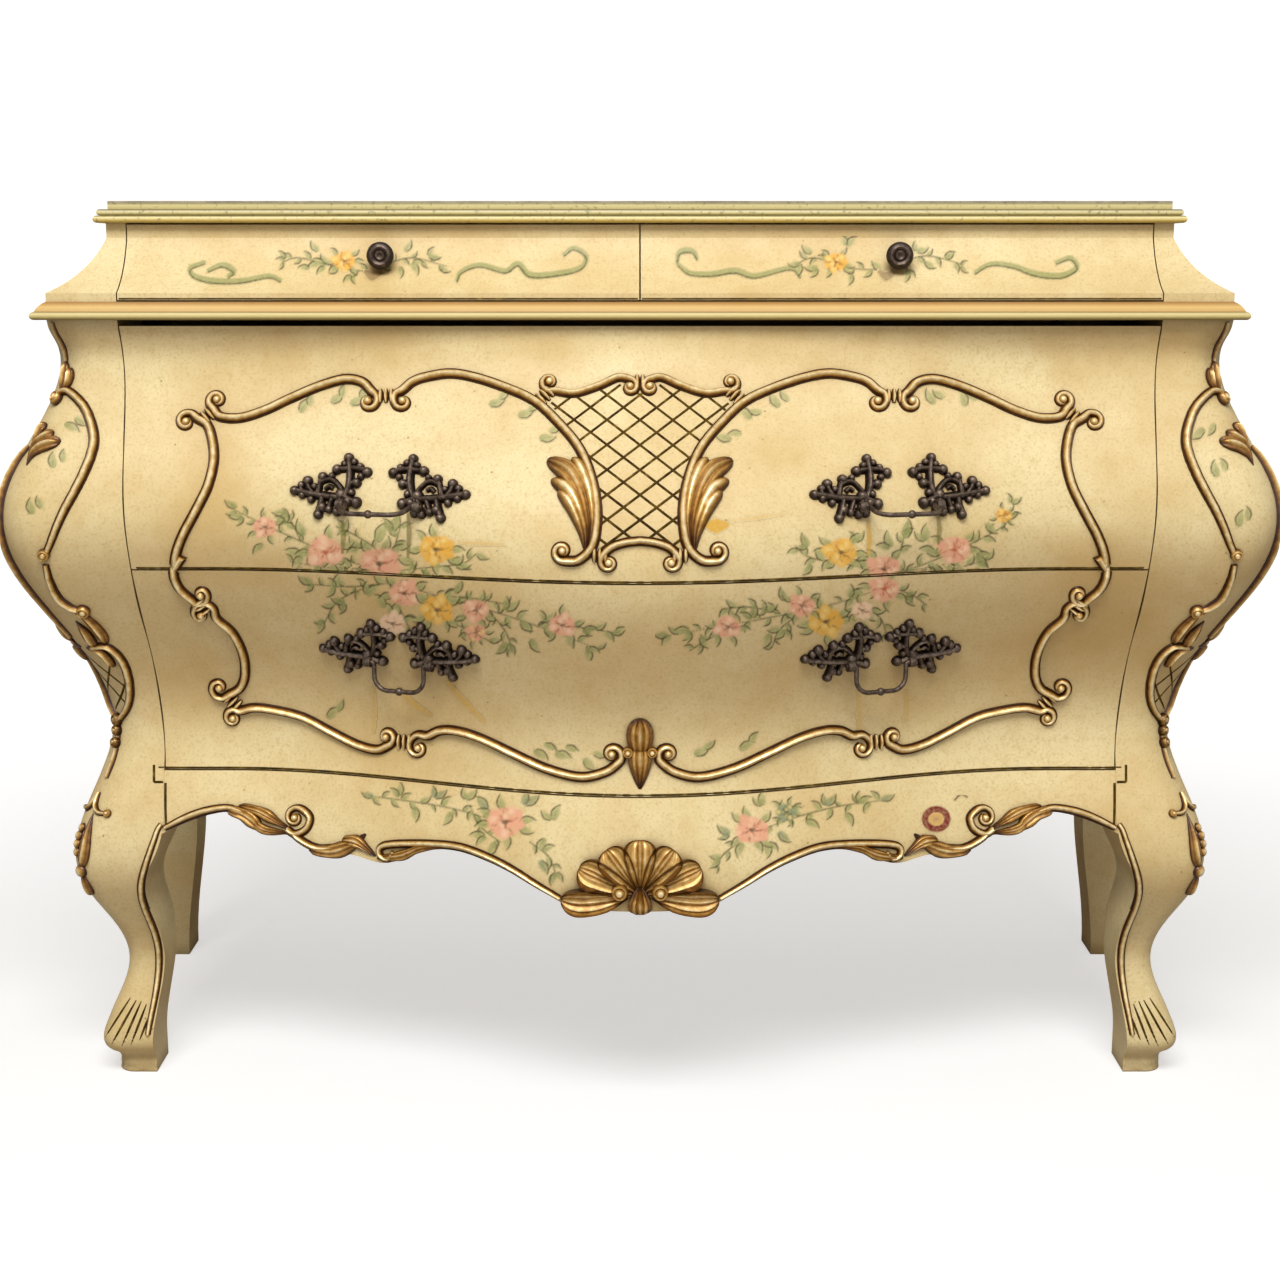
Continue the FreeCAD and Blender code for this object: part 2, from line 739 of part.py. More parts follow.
def leaf_face(angle, length, width, outwards):
    """A pointed leaf with two curved sides, growing from its post."""
    lean = math.radians(angle)
    along = Vector(outwards * math.cos(lean), 0, math.sin(lean))
    across = Vector(-along.z, 0, along.x)
    root, tip, middle = along * (-width / 4), along * length, along * (length * LEAF_MIDDLE)
    sides = [arc(root, middle + across * (side * width / 2), tip) for side in (-1, 1)]
    return Part.Face(Part.Wire(Part.__sortEdges__(sides)))


def plate_blank(outwards, span):
    """The cast spray of leaves round one post, as a thick blank."""
    spray = [leaf_face(angle, length, width, outwards) for angle, length, width in PLATE_LEAVES]
    solids = [face.extrude(Vector(0, FAR, 0)) for face in spray]
    blank = solids[0].multiFuse(solids[1:]).removeSplitter()
    blank.translate(Vector(outwards * span / 2, -FAR / 2, 0))
    return blank


def bail_path(span):
    """The bail's centre line, hanging from its eyes: pins, legs and grip with tangent bends."""
    leg_x = span / 2 - size("eye_long") / 2 - size("bail_radius") - size("side_gap") / 2
    tight, wide, drop = size("bail_pin_bend"), size("bail_bend"), size("bail_drop")
    pin_end = span / 2 + size("eye_long") / 2 + size("side_gap")
    bend_in, bend_out = tight * (1 - DIAGONAL), wide * (1 - DIAGONAL)
    half = [(pin_end, 0), (leg_x + tight, 0), (leg_x + bend_in, -bend_in), (leg_x, -tight),
            (leg_x, wide - drop), (leg_x - bend_out, bend_out - drop), (leg_x - wide, -drop)]
    runs = []
    for sign in (-1, 1):
        a, b, c, d, e, f, g = [Vector(sign * x, 0, z) for x, z in half]
        runs += [line(a, b), arc(b, c, d), line(d, e), arc(e, f, g)]
    runs.append(line(Vector(wide - leg_x, 0, -drop), Vector(leg_x - wide, 0, -drop)))
    return Part.Wire(Part.__sortEdges__(runs)), Vector(-pin_end, 0, 0)


def bail_shape(span):
    path, start = bail_path(span)
    section = Part.Wire(Part.makeCircle(size("bail_radius"), start, Vector(1, 0, 0)))
    knuckle = Part.makeSphere(size("bail_knuckle"), Vector(0, 0, -size("bail_drop")), Vector(1, 0, 0))
    return path.makePipeShell([section], True, False).fuse(knuckle)


def posts_shape(span):
    """Two posts, each with the eye that holds the bail and a nut inside the drawer."""
    behind = size("eye_stand") + size("front_thick") + size("nut_thick")
    posts = []
    for end in (-1, 1):
        foot = Vector(end * span / 2, 0, 0)
        shank = Part.makeCylinder(size("shank_radius"), behind, foot, Vector(0, 1, 0))
        eye = Part.makeCylinder(size("eye_radius"), size("eye_long"),
                                foot - Vector(size("eye_long") / 2, 0, 0), Vector(1, 0, 0))
        nut = Part.makeCylinder(size("nut_radius"), size("nut_thick"), foot + Vector(0, behind, 0),
                                Vector(0, 1, 0))
        bore = Part.makeCylinder(size("bail_radius") + size("bail_play"), 2 * size("eye_long"),
                                 foot - Vector(size("eye_long"), 0, 0), Vector(1, 0, 0))
        posts.append(shank.multiFuse([eye, nut]).cut(bore))
    return Part.makeCompound(posts)


def shank_holes(span):
    far = size("eye_stand") + 2 * size("front_thick")
    radius = size("shank_radius") + size("shank_play")
    return Part.makeCompound([Part.makeCylinder(radius, far, Vector(end * span / 2, 0, 0), Vector(0, 1, 0))
                              for end in (-1, 1)])


def placed(name, shape, placement):
    item = feature(name, shape)
    item.Placement = placement
    return item


def pull(drawer, side, sign, low, high):
    """One handle: plates, posts and bail; returns the holes for its posts."""
    name = f"{drawer}_{side}_pull"
    span = size(f"{drawer}_pull_span")
    height = low + (high - low) * size(f"{drawer}_pull_share")
    frame = pull_frame(sign * size(f"{drawer}_pull_from_middle"), height, span)
    holes = placed(f"{name}_holes", shank_holes(span), frame)
    sprays = placed(f"{name}_sprays", Part.makeCompound([plate_blank(-1, span), plate_blank(1, span)]), frame)
    solid_plates = combined("Part::Common", f"{name}_solid_plates", sprays, plate_slab)
    node(f"{name}_plates", combined("Part::Cut", f"{name}_plates", solid_plates, holes))
    node(f"{name}_posts", placed(f"{name}_posts", posts_shape(span), frame))
    lift = FreeCAD.Rotation(Vector(1, 0, 0), -size(f"{drawer}_pull_lift"))
    node(f"{name}_bail", placed(f"{name}_bail", bail_shape(span),
                                frame.multiply(FreeCAD.Placement(Vector(0, 0, 0), lift))))
    axis = frame.Rotation.multVec(Vector(-1, 0, 0))
    print(f"{name}: pivot {tuple(round(c, 3) for c in frame.Base)} axis {tuple(round(c, 5) for c in axis)}")
    return holes


FRONT_LIMITS = {"upper": (split, drawer_top, 0), "lower": (size("apron_line"), split, size("front_gap"))}
for drawer, (low, high, gap) in FRONT_LIMITS.items():
    prism = front_prism(f"{drawer}_front_prism", drawer_outline(low + gap, high - gap))
    blank = combined("Part::Common", f"{drawer}_front_blank", front_slab, prism)
    holes = gathered(f"{drawer}_pull_holes",
                     [pull(drawer, side, sign, low, high) for side, sign in SIDES.items()])
    node(f"{drawer}_drawer_front", combined("Part::Cut", f"{drawer}_drawer_front", blank, holes))


# Gilt mouldings: rounded strokes that end in round eyes, and leaves, laid on the drawers and the apron
STROKE_SECTIONS = 4
STROKE_TAPER = 0.35
LEAF_TAPER = 0.85
FACING_STEP = 1


def seat(x, z):
    """The point a glue line before the front, at x and z."""
    return Vector(x, front_y(x, z) - size("glue_line"), z)


def facing(x, z):
    """Direction straight out of the front, at x and z."""
    across = seat(x + FACING_STEP, z) - seat(x - FACING_STEP, z)
    upwards = seat(x, z + FACING_STEP) - seat(x, z - FACING_STEP)
    return across.cross(upwards).normalize()


def bead(points, width, taper):
    """A rounded stroke through points on the front, thinner towards its ends."""
    spine = curve([Vector(x, 0, z) for x, z in points])
    first, last = spine.ParameterRange
    count = STROKE_SECTIONS * (len(points) - 1)
    sections = []
    for step in range(count + 1):
        share = step / count
        at = first + (last - first) * share
        middle, along = spine.valueAt(at), spine.tangentAt(at)
        swell = 1 - taper * (2 * share - 1) ** 2
        half = Vector(along.z, 0, -along.x) * (swell * width / 2)
        left, right = [seat(middle.x + sign * half.x, middle.z + sign * half.z) for sign in (-1, 1)]
        base, chord = seat(middle.x, middle.z), (left + right) * 0.5
        crest = base + facing(middle.x, middle.z) * (swell * size("moulding_high"))
        rise = crest - chord
        sag = chord + rise * ((base - chord).dot(rise) / rise.dot(rise))
        sections.append(Part.Wire([arc(left, crest, right), curve([right, sag, left])]))
    return Part.makeLoft(sections, True)


def eye(x, z):
    """The round end of a stroke."""
    out = facing(x, z)
    return Part.makeSphere(size("moulding_eye"), seat(x, z) + out * size("glue_line"), out, 0, 90, 360)


def moulding(name, strokes, leaves, foot, rise_stretch):
    """The strokes and leaves of one field with their mirror images; one on the middle line has none."""
    stretch = size("opening_foot_half") / DRAWN_HALF
    pieces = []
    for drawn in strokes + leaves:
        middle_line = all(x == 0 for x, rise in drawn)
        for sign in (1,) if middle_line else (-1, 1):
            points = [(sign * x * stretch, foot + rise * rise_stretch) for x, rise in drawn]
            if drawn in leaves:
                shape = bead(points, size("moulding_leaf_wide"), LEAF_TAPER)
            else:
                shape = bead(points, size("moulding_wide"), STROKE_TAPER)
                shape = shape.multiFuse([eye(*points[0]), eye(*points[-1])])
            pieces.append(feature(f"{name}_{len(pieces)}", shape))
    node(name, gathered(name, pieces))


apron_line = size("apron_line")
moulding("upper_drawer_moulding", UPPER_STROKES, UPPER_LEAVES, split, (drawer_top - split) / DRAWN_UPPER)
moulding("lower_drawer_moulding", LOWER_STROKES, LOWER_LEAVES, apron_line, (split - apron_line) / DRAWN_LOWER)
moulding("apron_carving", APRON_STROKES, [], apron_line, 1)


# Frieze drawer fronts and their knobs

def frieze_surface_y(z):
    """Front of the frieze's hollow at a height."""
    edge = edge_line([frieze_edge[1]], lambda inward, height: Vector(0, frieze_front + inward, height))[0]
    level = line(Vector(0, frieze_front - hollow, z), Vector(0, frieze_front + 2 * hollow, z))
    return edge.distToShape(level)[1][0][0].y


knob_z = frieze_top - size("knob_drop")
knob_x = (size("opening_top_half") - size("side_gap") + size("front_gap") / 2) / 2
put("knob_seat", frieze_surface_y(knob_z))
put("knob_shank_long", size("frieze_drawer_back") - size("knob_seat"))
for side, sign in SIDES.items():
    knob_foot = Vector(sign * knob_x, size("knob_seat"), knob_z)
    shank_end = Vector(knob_foot.x, size("frieze_drawer_back") + size("nut_thick"), knob_z)
    limits = [sign * size("front_gap") / 2, sign * (size("opening_top_half") - size("side_gap"))]
    inner, outer = sorted(limits)
    put(f"frieze_front_{side}_low", inner)
    put(f"frieze_front_{side}_high", outer)
    blank = board(f"frieze_front_blank_{side}",
                  (f"Size.frieze_front_{side}_low", f"Size.frieze_front_{side}_high"),
                  ("Size.frieze_front", "Size.frieze_drawer_back"),
                  ("Size.frieze_base + Size.front_gap", "Size.frieze_top - Size.front_gap"))
    solid_front = combined("Part::Common", f"frieze_front_solid_{side}", blank, frieze)
    hole = rod(f"knob_hole_{side}", "Size.shank_radius + Size.shank_play", "2 * Size.knob_shank_long",
               shank_end, TURN_TO_FRONT)
    front_name = f"frieze_drawer_{side}_front"
    node(front_name, combined("Part::Cut", front_name, solid_front, hole))
    shank = rod(f"knob_shank_{side}", "Size.shank_radius",
                "Size.knob_shank_long + Size.nut_thick + Size.knob_stand", shank_end, TURN_TO_FRONT)
    nut = rod(f"knob_nut_{side}", "Size.nut_radius", "Size.nut_thick", shank_end, TURN_TO_FRONT)
    ball = doc.addObject("Part::Ellipsoid", f"knob_ball_{side}")
    ball.Angle1 = -90
    ball.setExpression("Radius1", "Size.knob_deep")
    ball.setExpression("Radius2", "Size.knob_radius")
    ball.setExpression("Radius3", "Size.knob_radius")
    ball.Placement = FreeCAD.Placement(knob_foot - Vector(0, size("knob_stand"), 0), TURN_TO_FRONT)
    neck = rod(f"knob_neck_{side}", "Size.knob_neck_radius", "Size.knob_stand", knob_foot, TURN_TO_FRONT)
    fitted_neck = combined("Part::Cut", f"knob_neck_fitted_{side}", neck, frieze)
    node(f"frieze_drawer_{side}_knob", joined(f"frieze_drawer_{side}_knob", [ball, fitted_neck, shank, nut]))

# Build, test and write
doc.recompute()
faults = [item.Name for item in doc.Objects if {"Invalid", "Error"} & set(item.State)]
for name, item in nodes.items():
    if item.Shape.isNull() or not item.Shape.isValid() or not item.Shape.Solids:
        faults.append(name)
if faults:
    raise RuntimeError(f"failed objects: {sorted(set(faults))}")
os.makedirs("parts", exist_ok=True)
for name, item in nodes.items():
    item.Shape.exportStep(f"parts/{name}.step")
print(len(nodes), "nodes")
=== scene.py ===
import json
import math

import bpy
import numpy as np
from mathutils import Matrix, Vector
from mathutils.bvhtree import BVHTree


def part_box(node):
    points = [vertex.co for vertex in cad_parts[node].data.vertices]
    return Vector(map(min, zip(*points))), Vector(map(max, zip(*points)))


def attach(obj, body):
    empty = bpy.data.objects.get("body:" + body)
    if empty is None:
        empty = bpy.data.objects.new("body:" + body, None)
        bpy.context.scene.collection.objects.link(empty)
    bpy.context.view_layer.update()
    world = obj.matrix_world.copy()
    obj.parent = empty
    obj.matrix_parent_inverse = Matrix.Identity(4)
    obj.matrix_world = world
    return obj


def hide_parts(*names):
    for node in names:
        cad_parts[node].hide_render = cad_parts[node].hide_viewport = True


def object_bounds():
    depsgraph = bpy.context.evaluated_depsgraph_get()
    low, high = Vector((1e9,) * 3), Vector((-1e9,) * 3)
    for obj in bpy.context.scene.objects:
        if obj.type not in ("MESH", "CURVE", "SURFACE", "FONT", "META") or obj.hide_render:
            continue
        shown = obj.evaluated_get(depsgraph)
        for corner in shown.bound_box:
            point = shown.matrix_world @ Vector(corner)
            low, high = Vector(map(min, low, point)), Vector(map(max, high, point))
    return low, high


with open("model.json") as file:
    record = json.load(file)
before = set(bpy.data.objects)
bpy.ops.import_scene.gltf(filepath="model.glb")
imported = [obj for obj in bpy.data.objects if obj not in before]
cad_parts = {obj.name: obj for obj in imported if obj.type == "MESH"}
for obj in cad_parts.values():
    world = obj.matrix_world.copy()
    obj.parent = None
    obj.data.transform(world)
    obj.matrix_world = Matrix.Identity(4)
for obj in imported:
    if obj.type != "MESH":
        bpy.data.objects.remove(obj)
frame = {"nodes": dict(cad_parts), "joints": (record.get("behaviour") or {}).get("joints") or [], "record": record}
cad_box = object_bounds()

# Painted bombe chest: carved gilding, painted flowers and cast handles laid on the solid chest. Metres.
MM = 0.001
OUT, BACK, RIGHT = Vector((0, -1, 0)), Vector((0, 1, 0)), Vector((1, 0, 0))
FAR_OFF = 1
SIDES = ("left", "right")

# Camera, as the photograph was taken; points marked "photo" are in its frame
PHOTO_SIZE = 1280
PHOTO_MIDDLE = PHOTO_SIZE / 2
FOCAL = 1950
TILT = math.radians(11)
EYE = Vector((0, -2.0354, 0.831))
SENSOR = 36
FORWARD = Vector((0, math.cos(TILT), -math.sin(TILT)))
UPWARD = Vector((0, math.sin(TILT), math.cos(TILT)))
SUBJECT_DEPTH = 1.83


# Colours and shader nodes

def linear(code):
    """An sRGB hex code as linear colour."""
    parts = [int(code[i:i + 2], 16) / 255 for i in (1, 3, 5)]
    return tuple(c / 12.92 if c <= 0.04045 else ((c + 0.055) / 1.055) ** 2.4 for c in parts) + (1.0,)


def feed(tree, node, links):
    """Set the sockets of a node, each to a value or to a link."""
    for socket, value in links.items():
        if isinstance(value, bpy.types.NodeSocket):
            tree.links.new(value, node.inputs[socket])
        else:
            node.inputs[socket].default_value = value


def add(tree, kind, links=None, stops=(), **settings):
    """Add a shader node with its settings, its ramp stops and the values or links of its sockets."""
    made = tree.nodes.new(f"ShaderNode{kind}")
    for name, value in settings.items():
        setattr(made, name, value)
    for index, (place, shade) in enumerate(stops):
        elements = made.color_ramp.elements
        stop = elements[index] if index < len(elements) else elements.new(place)
        stop.position = place
        stop.color = linear(shade)
    feed(tree, made, links or {})
    return made


def material(name):
    """An empty material with its shader; returns the material, its tree and the shader."""
    made = bpy.data.materials.new(name)
    made.use_nodes = True
    return made, made.node_tree, made.node_tree.nodes["Principled BSDF"]


def per_metre(size_mm):
    """Scale of a pattern whose features are this many millimetres apart."""
    return 1 / (size_mm * MM)


# Aged cream oil paint over gesso: warm, matt to satin, mottled by old varnish, specked, with grime and painted
# shade in corners, and painted shade on surfaces that face down
CREAM, CREAM_WARM, CREAM_GRIME_AND_SHADE = "#E8D5A2", "#D2B478", "#7A5A2A"
CREAM_DUST, SPECK, UNDERSIDE_SHADE = "#BE9F62", "#6E4E24", "#A06E28"
CLOUD_MM, MOTTLE_MM, GRAIN_MM, SPECK_MM, CORNER_MM, CREAM_RELIEF_MM = 140, 11, 2.6, 15, 24, 0.6


def cream_ground(tree):
    """The paint's colour, with its painted shade, and its surface relief, the same wherever the paint lies."""
    place = add(tree, "TexCoord").outputs["Object"]
    cloud = add(tree, "TexNoise",
                {"Vector": place, "Scale": per_metre(CLOUD_MM), "Detail": 4, "Roughness": 0.6})
    mottle = add(tree, "TexNoise", {"Vector": place, "Scale": per_metre(MOTTLE_MM), "Detail": 5,
                                    "Roughness": 0.75})
    grain = add(tree, "TexNoise",
                {"Vector": place, "Scale": per_metre(GRAIN_MM), "Detail": 2, "Roughness": 0.6})
    cells = add(tree, "TexVoronoi", {"Vector": place, "Scale": per_metre(SPECK_MM), "Randomness": 1})
    lie = add(tree, "SeparateXYZ", {0: add(tree, "NewGeometry").outputs["Normal"]})
    corner = add(tree, "AmbientOcclusion", {"Distance": CORNER_MM * MM}, samples=8)
    clouded = add(tree, "MapRange", {"Value": cloud.outputs["Fac"], "From Min": 0.38, "From Max": 0.7})
    mottled = add(tree, "MapRange", {"Value": mottle.outputs["Fac"], "From Min": 0.5, "From Max": 0.8,
                                     "To Max": 0.62})
    grained = add(tree, "MapRange", {"Value": grain.outputs["Fac"], "From Min": 0.5, "From Max": 0.72,
                                     "To Max": 0.42})
    dot = add(tree, "MapRange", {"Value": cells.outputs["Distance"], "From Min": 0.045, "From Max": 0.09,
                                 "To Min": 0.75, "To Max": 0})
    thinned = add(tree, "MapRange", {"Value": mottle.outputs["Fac"], "From Min": 0.5, "From Max": 0.62})
    specked = add(tree, "Math", {0: dot.outputs[0], 1: thinned.outputs[0]}, operation="MULTIPLY")
    # painted shade: browner and darker where the surface faces down
    underside_shade = add(tree, "MapRange", {"Value": lie.outputs["Z"], "From Min": 0.05, "From Max": -0.35,
                                     "To Max": 0.28})
    # grime and painted shade: darker in corners and recesses, where ambient occlusion finds them
    grime_and_corner_shade = add(tree, "MapRange", {"Value": corner.outputs["AO"], "From Min": 0.3, "From Max": 0.9,
                                   "To Min": 0.8, "To Max": 0})
    colour = linear(CREAM)
    for share, shade in ((clouded, CREAM_WARM), (mottled, CREAM_WARM), (grained, CREAM_DUST),
                         (specked, SPECK), (underside_shade, UNDERSIDE_SHADE), (grime_and_corner_shade, CREAM_GRIME_AND_SHADE)):
        layer = add(tree, "Mix", {0: share.outputs[0], 6: colour, 7: linear(shade)}, data_type="RGBA")
        colour = layer.outputs[2]
    relief = add(tree, "Bump", {"Height": mottle.outputs["Fac"], "Strength": 0.18,
                                "Distance": CREAM_RELIEF_MM * MM})
    return colour, relief.outputs[0]


def finish_cream(tree, shader, colour, relief):
    feed(tree, shader, {"Base Color": colour, "Normal": relief, "Roughness": 0.5, "Specular IOR Level": 0.35})


def cream_paint():
    made, tree, shader = material("aged_cream_paint")
    finish_cream(tree, shader, *cream_ground(tree))
    return made


# Cream paint with rubbed ochre and olive bands along a moulding
WAIST_BANDS = [(0.0, "#4E4020"), (0.06, "#8A7A40"), (0.2, "#C9B878"), (0.36, "#D8C88C"), (0.44, "#7A6430"),
               (0.5, "#C49A52"), (0.72, "#D8B26A"), (0.9, "#A8793A"), (1.0, "#8A602C")]
BAND_SHARE = 0.85


def level_on(tree, node):
    """Height on a CAD node, from 0 at its foot to 1 at its top."""
    low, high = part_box(node)
    place = add(tree, "SeparateXYZ", {0: add(tree, "TexCoord").outputs["Object"]})
    level = add(tree, "MapRange", {"Value": place.outputs["Z"], "From Min": low.z, "From Max": high.z})
    return level.outputs[0]


def banded_paint(node):
    made, tree, shader = material("banded_cream_paint")
    ground, relief = cream_ground(tree)
    band = add(tree, "ValToRGB", {0: level_on(tree, node)}, stops=WAIST_BANDS)
    mixed = add(tree, "Mix", {0: BAND_SHARE, 6: ground, 7: band.outputs[0]}, data_type="RGBA")
    finish_cream(tree, shader, mixed.outputs[2], relief)
    return made


# Brush painting on the cream: thin oil colour that lets the mottled ground through
WEAR_MM = 3.2


def brush_paint():
    made, tree, shader = material("brushed_flower_paint")
    ground, relief = cream_ground(tree)
    hue = add(tree, "Attribute", attribute_name="hue")
    cover = add(tree, "Attribute", attribute_name="cover")
    place = add(tree, "TexCoord").outputs["Object"]
    wear_and_painted_light = add(tree, "TexNoise",
               {"Vector": place, "Scale": per_metre(WEAR_MM), "Detail": 3, "Roughness": 0.7})
    left = add(tree, "MapRange", {"Value": wear_and_painted_light.outputs["Fac"], "From Min": 0.66, "From Max": 0.4,
                                  "To Min": 0.76, "To Max": 1})
    share = add(tree, "Math", {0: cover.outputs["Fac"], 1: left.outputs[0]}, operation="MULTIPLY")
    mixed = add(tree, "Mix", {0: share.outputs[0], 6: ground, 7: hue.outputs["Color"]}, data_type="RGBA")
    finish_cream(tree, shader, mixed.outputs[2], relief)
    return made


# Worn oil gilding over umber: pale gold on the crests, partly a painted highlight, and brown wash in the hollows,
# partly painted shade
GILT_WASH_AND_LIGHT_STOPS = [(0.0, "#241206"), (0.28, "#4A2A0C"), (0.55, "#8C6026"), (0.78, "#C49A50"), (1.0, "#F2DFAE")]
GILT_RUB_MM, GILT_RELIEF_MM = 7, 0.5


def gilding():
    made, tree, shader = material("worn_gilding")
    place = add(tree, "TexCoord").outputs["Object"]
    crest = add(tree, "Attribute", attribute_name="crest")
    rub = add(tree, "TexNoise", {"Vector": place, "Scale": per_metre(GILT_RUB_MM), "Detail": 4,
                                 "Roughness": 0.65})
    uneven = add(tree, "MapRange", {"Value": rub.outputs["Fac"], "From Min": 0.3, "From Max": 0.7,
                                    "To Min": -0.12, "To Max": 0.1})
    level = add(tree, "Math", {0: crest.outputs["Fac"], 1: uneven.outputs[0]}, operation="ADD")
    # the crest attribute runs from hollow to crest, so this ramp paints shade in the hollows and highlights on the
    # crests along with the worn gold
    shade = add(tree, "ValToRGB", {0: level.outputs[0]}, stops=GILT_WASH_AND_LIGHT_STOPS)
    relief = add(tree, "Bump",
                 {"Height": rub.outputs["Fac"], "Strength": 0.14, "Distance": GILT_RELIEF_MM * MM})
    feed(tree, shader, {"Base Color": shade.outputs[0], "Normal": relief.outputs[0], "Metallic": 0.35,
                        "Roughness": 0.36})
    return made


# Umber lines, dull and dark: the lattice, the toe flutes, the open joints, and painted shade along the lower edges
# of the drawers
UMBER_AND_SHADE_STOPS = [(0.35, "#33240A"), (0.6, "#5A4413"), (0.8, "#937A36")]
UMBER_RUB_MM = 9


def umber_and_shade_line():
    made, tree, shader = material("umber_and_shade_line")
    place = add(tree, "TexCoord").outputs["Object"]
    rub = add(tree, "TexNoise", {"Vector": place, "Scale": per_metre(UMBER_RUB_MM), "Detail": 3})
    shade = add(tree, "ValToRGB", {0: rub.outputs["Fac"]}, stops=UMBER_AND_SHADE_STOPS)
    feed(tree, shader, {"Base Color": shade.outputs[0], "Roughness": 0.8, "Specular IOR Level": 0.1})
    return made


# Dark patinated bronze castings: nearly black, browner in the hollows, rubbed grey on the crests
BRONZE_STOPS = [(0.0, "#140B07"), (0.3, "#33251C"), (0.65, "#786758")]
BRONZE_RUB_MM, BRONZE_RELIEF_MM, PLAIN_CREST = 5, 0.4, 0.85


def bronze(name, plain_crest=None):
    """The bronze of pieces that carry their own crests, or of castings with one crest all over."""
    made, tree, shader = material(name)
    place = add(tree, "TexCoord").outputs["Object"]
    crest = plain_crest
    if crest is None:
        crest = add(tree, "Attribute", attribute_name="crest").outputs["Fac"]
    rub = add(tree, "TexNoise", {"Vector": place, "Scale": per_metre(BRONZE_RUB_MM), "Detail": 4,
                                 "Roughness": 0.7})
    level = add(tree, "Math", {0: crest, 1: rub.outputs["Fac"]}, operation="MULTIPLY")
    shade = add(tree, "ValToRGB", {0: level.outputs[0]}, stops=BRONZE_STOPS)
    relief = add(tree, "Bump",
                 {"Height": rub.outputs["Fac"], "Strength": 0.3, "Distance": BRONZE_RELIEF_MM * MM})
    feed(tree, shader, {"Base Color": shade.outputs[0], "Normal": relief.outputs[0], "Metallic": 0.6,
                        "Roughness": 0.42})
    return made


# Painted stone: the top is mottled grey, its moulded edge is banded in green and gold
EDGE_STOPS = [(0.0, "#9A8238"), (0.1, "#CBAF5C"), (0.24, "#E4D498"), (0.32, "#7A6C3A"), (0.36, "#CBBC7A"),
              (0.5, "#E0D49E"), (0.6, "#6A5C38"), (0.66, "#C8BA7A"), (0.8, "#DCCF94"), (0.9, "#948A62"),
              (1.0, "#7C7662")]
STONE_STOPS = [(0.3, "#6F675A"), (0.48, "#A39880"), (0.6, "#B9AE96"), (0.75, "#D2C9B2")]
STONE_FLECK, VEIN_MM, FLECK_MM, STONE_RELIEF_MM = "#5F5636", 45, 4, 0.5


def painted_stone():
    made, tree, shader = material("painted_stone")
    place = add(tree, "TexCoord").outputs["Object"]
    level = level_on(tree, "top_board")
    edge = add(tree, "ValToRGB", {0: level}, stops=EDGE_STOPS)
    vein = add(tree, "TexNoise", {"Vector": place, "Scale": per_metre(VEIN_MM), "Detail": 8, "Roughness": 0.7,
                                  "Distortion": 1.2})
    stone = add(tree, "ValToRGB", {0: vein.outputs["Fac"]}, stops=STONE_STOPS)
    fleck = add(tree, "TexNoise", {"Vector": place, "Scale": per_metre(FLECK_MM), "Detail": 3})
    flecked = add(tree, "MapRange", {"Value": fleck.outputs["Fac"], "From Min": 0.58, "From Max": 0.72,
                                     "To Max": 0.6})
    upper = add(tree, "MapRange", {"Value": level, "From Min": 0.86, "From Max": 0.97, "To Max": 0.75})
    mixed = add(tree, "Mix", {0: upper.outputs[0], 6: edge.outputs[0], 7: stone.outputs[0]}, data_type="RGBA")
    wear_and_painted_light = add(tree, "Mix", {0: flecked.outputs[0], 6: mixed.outputs[2], 7: linear(STONE_FLECK)},
               data_type="RGBA")
    relief = add(tree, "Bump", {"Height": fleck.outputs["Fac"], "Strength": 0.2,
                                "Distance": STONE_RELIEF_MM * MM})
    feed(tree, shader, {"Base Color": wear_and_painted_light.outputs[2], "Normal": relief.outputs[0], "Roughness": 0.42})
    return made


# Bare poplar: pale brown, straight grained, dusty with age; the grain is drawn out along one axis
POPLAR_STOPS = [(0.34, "#7A5C38"), (0.48, "#A5835A"), (0.58, "#BA9A6E"), (0.7, "#CDB288")]
GRAIN_LINE_MM, GRAIN_BROAD_MM, POPLAR_RELIEF_MM, DRAWN_OUT = 6, 70, 0.5, 0.07


def bare_poplar(name, stretch):
    made, tree, shader = material(name)
    place = add(tree, "TexCoord").outputs["Object"]
    along = add(tree, "Mapping", {"Vector": place, "Scale": stretch}).outputs[0]
    grain = add(tree, "TexNoise", {"Vector": along, "Scale": per_metre(GRAIN_LINE_MM), "Detail": 6,
                                   "Roughness": 0.62})
    broad = add(tree, "TexNoise", {"Vector": along, "Scale": per_metre(GRAIN_BROAD_MM), "Detail": 3})
    total = add(tree, "Math", {0: grain.outputs["Fac"], 1: broad.outputs["Fac"]}, operation="ADD")
    half = add(tree, "Math", {0: total.outputs[0], 1: 0.5}, operation="MULTIPLY")
    shade = add(tree, "ValToRGB", {0: half.outputs[0]}, stops=POPLAR_STOPS)
    relief = add(tree, "Bump", {"Height": grain.outputs["Fac"], "Strength": 0.3,
                                "Distance": POPLAR_RELIEF_MM * MM})
    feed(tree, shader, {"Base Color": shade.outputs[0], "Normal": relief.outputs[0], "Roughness": 0.72})
    return made


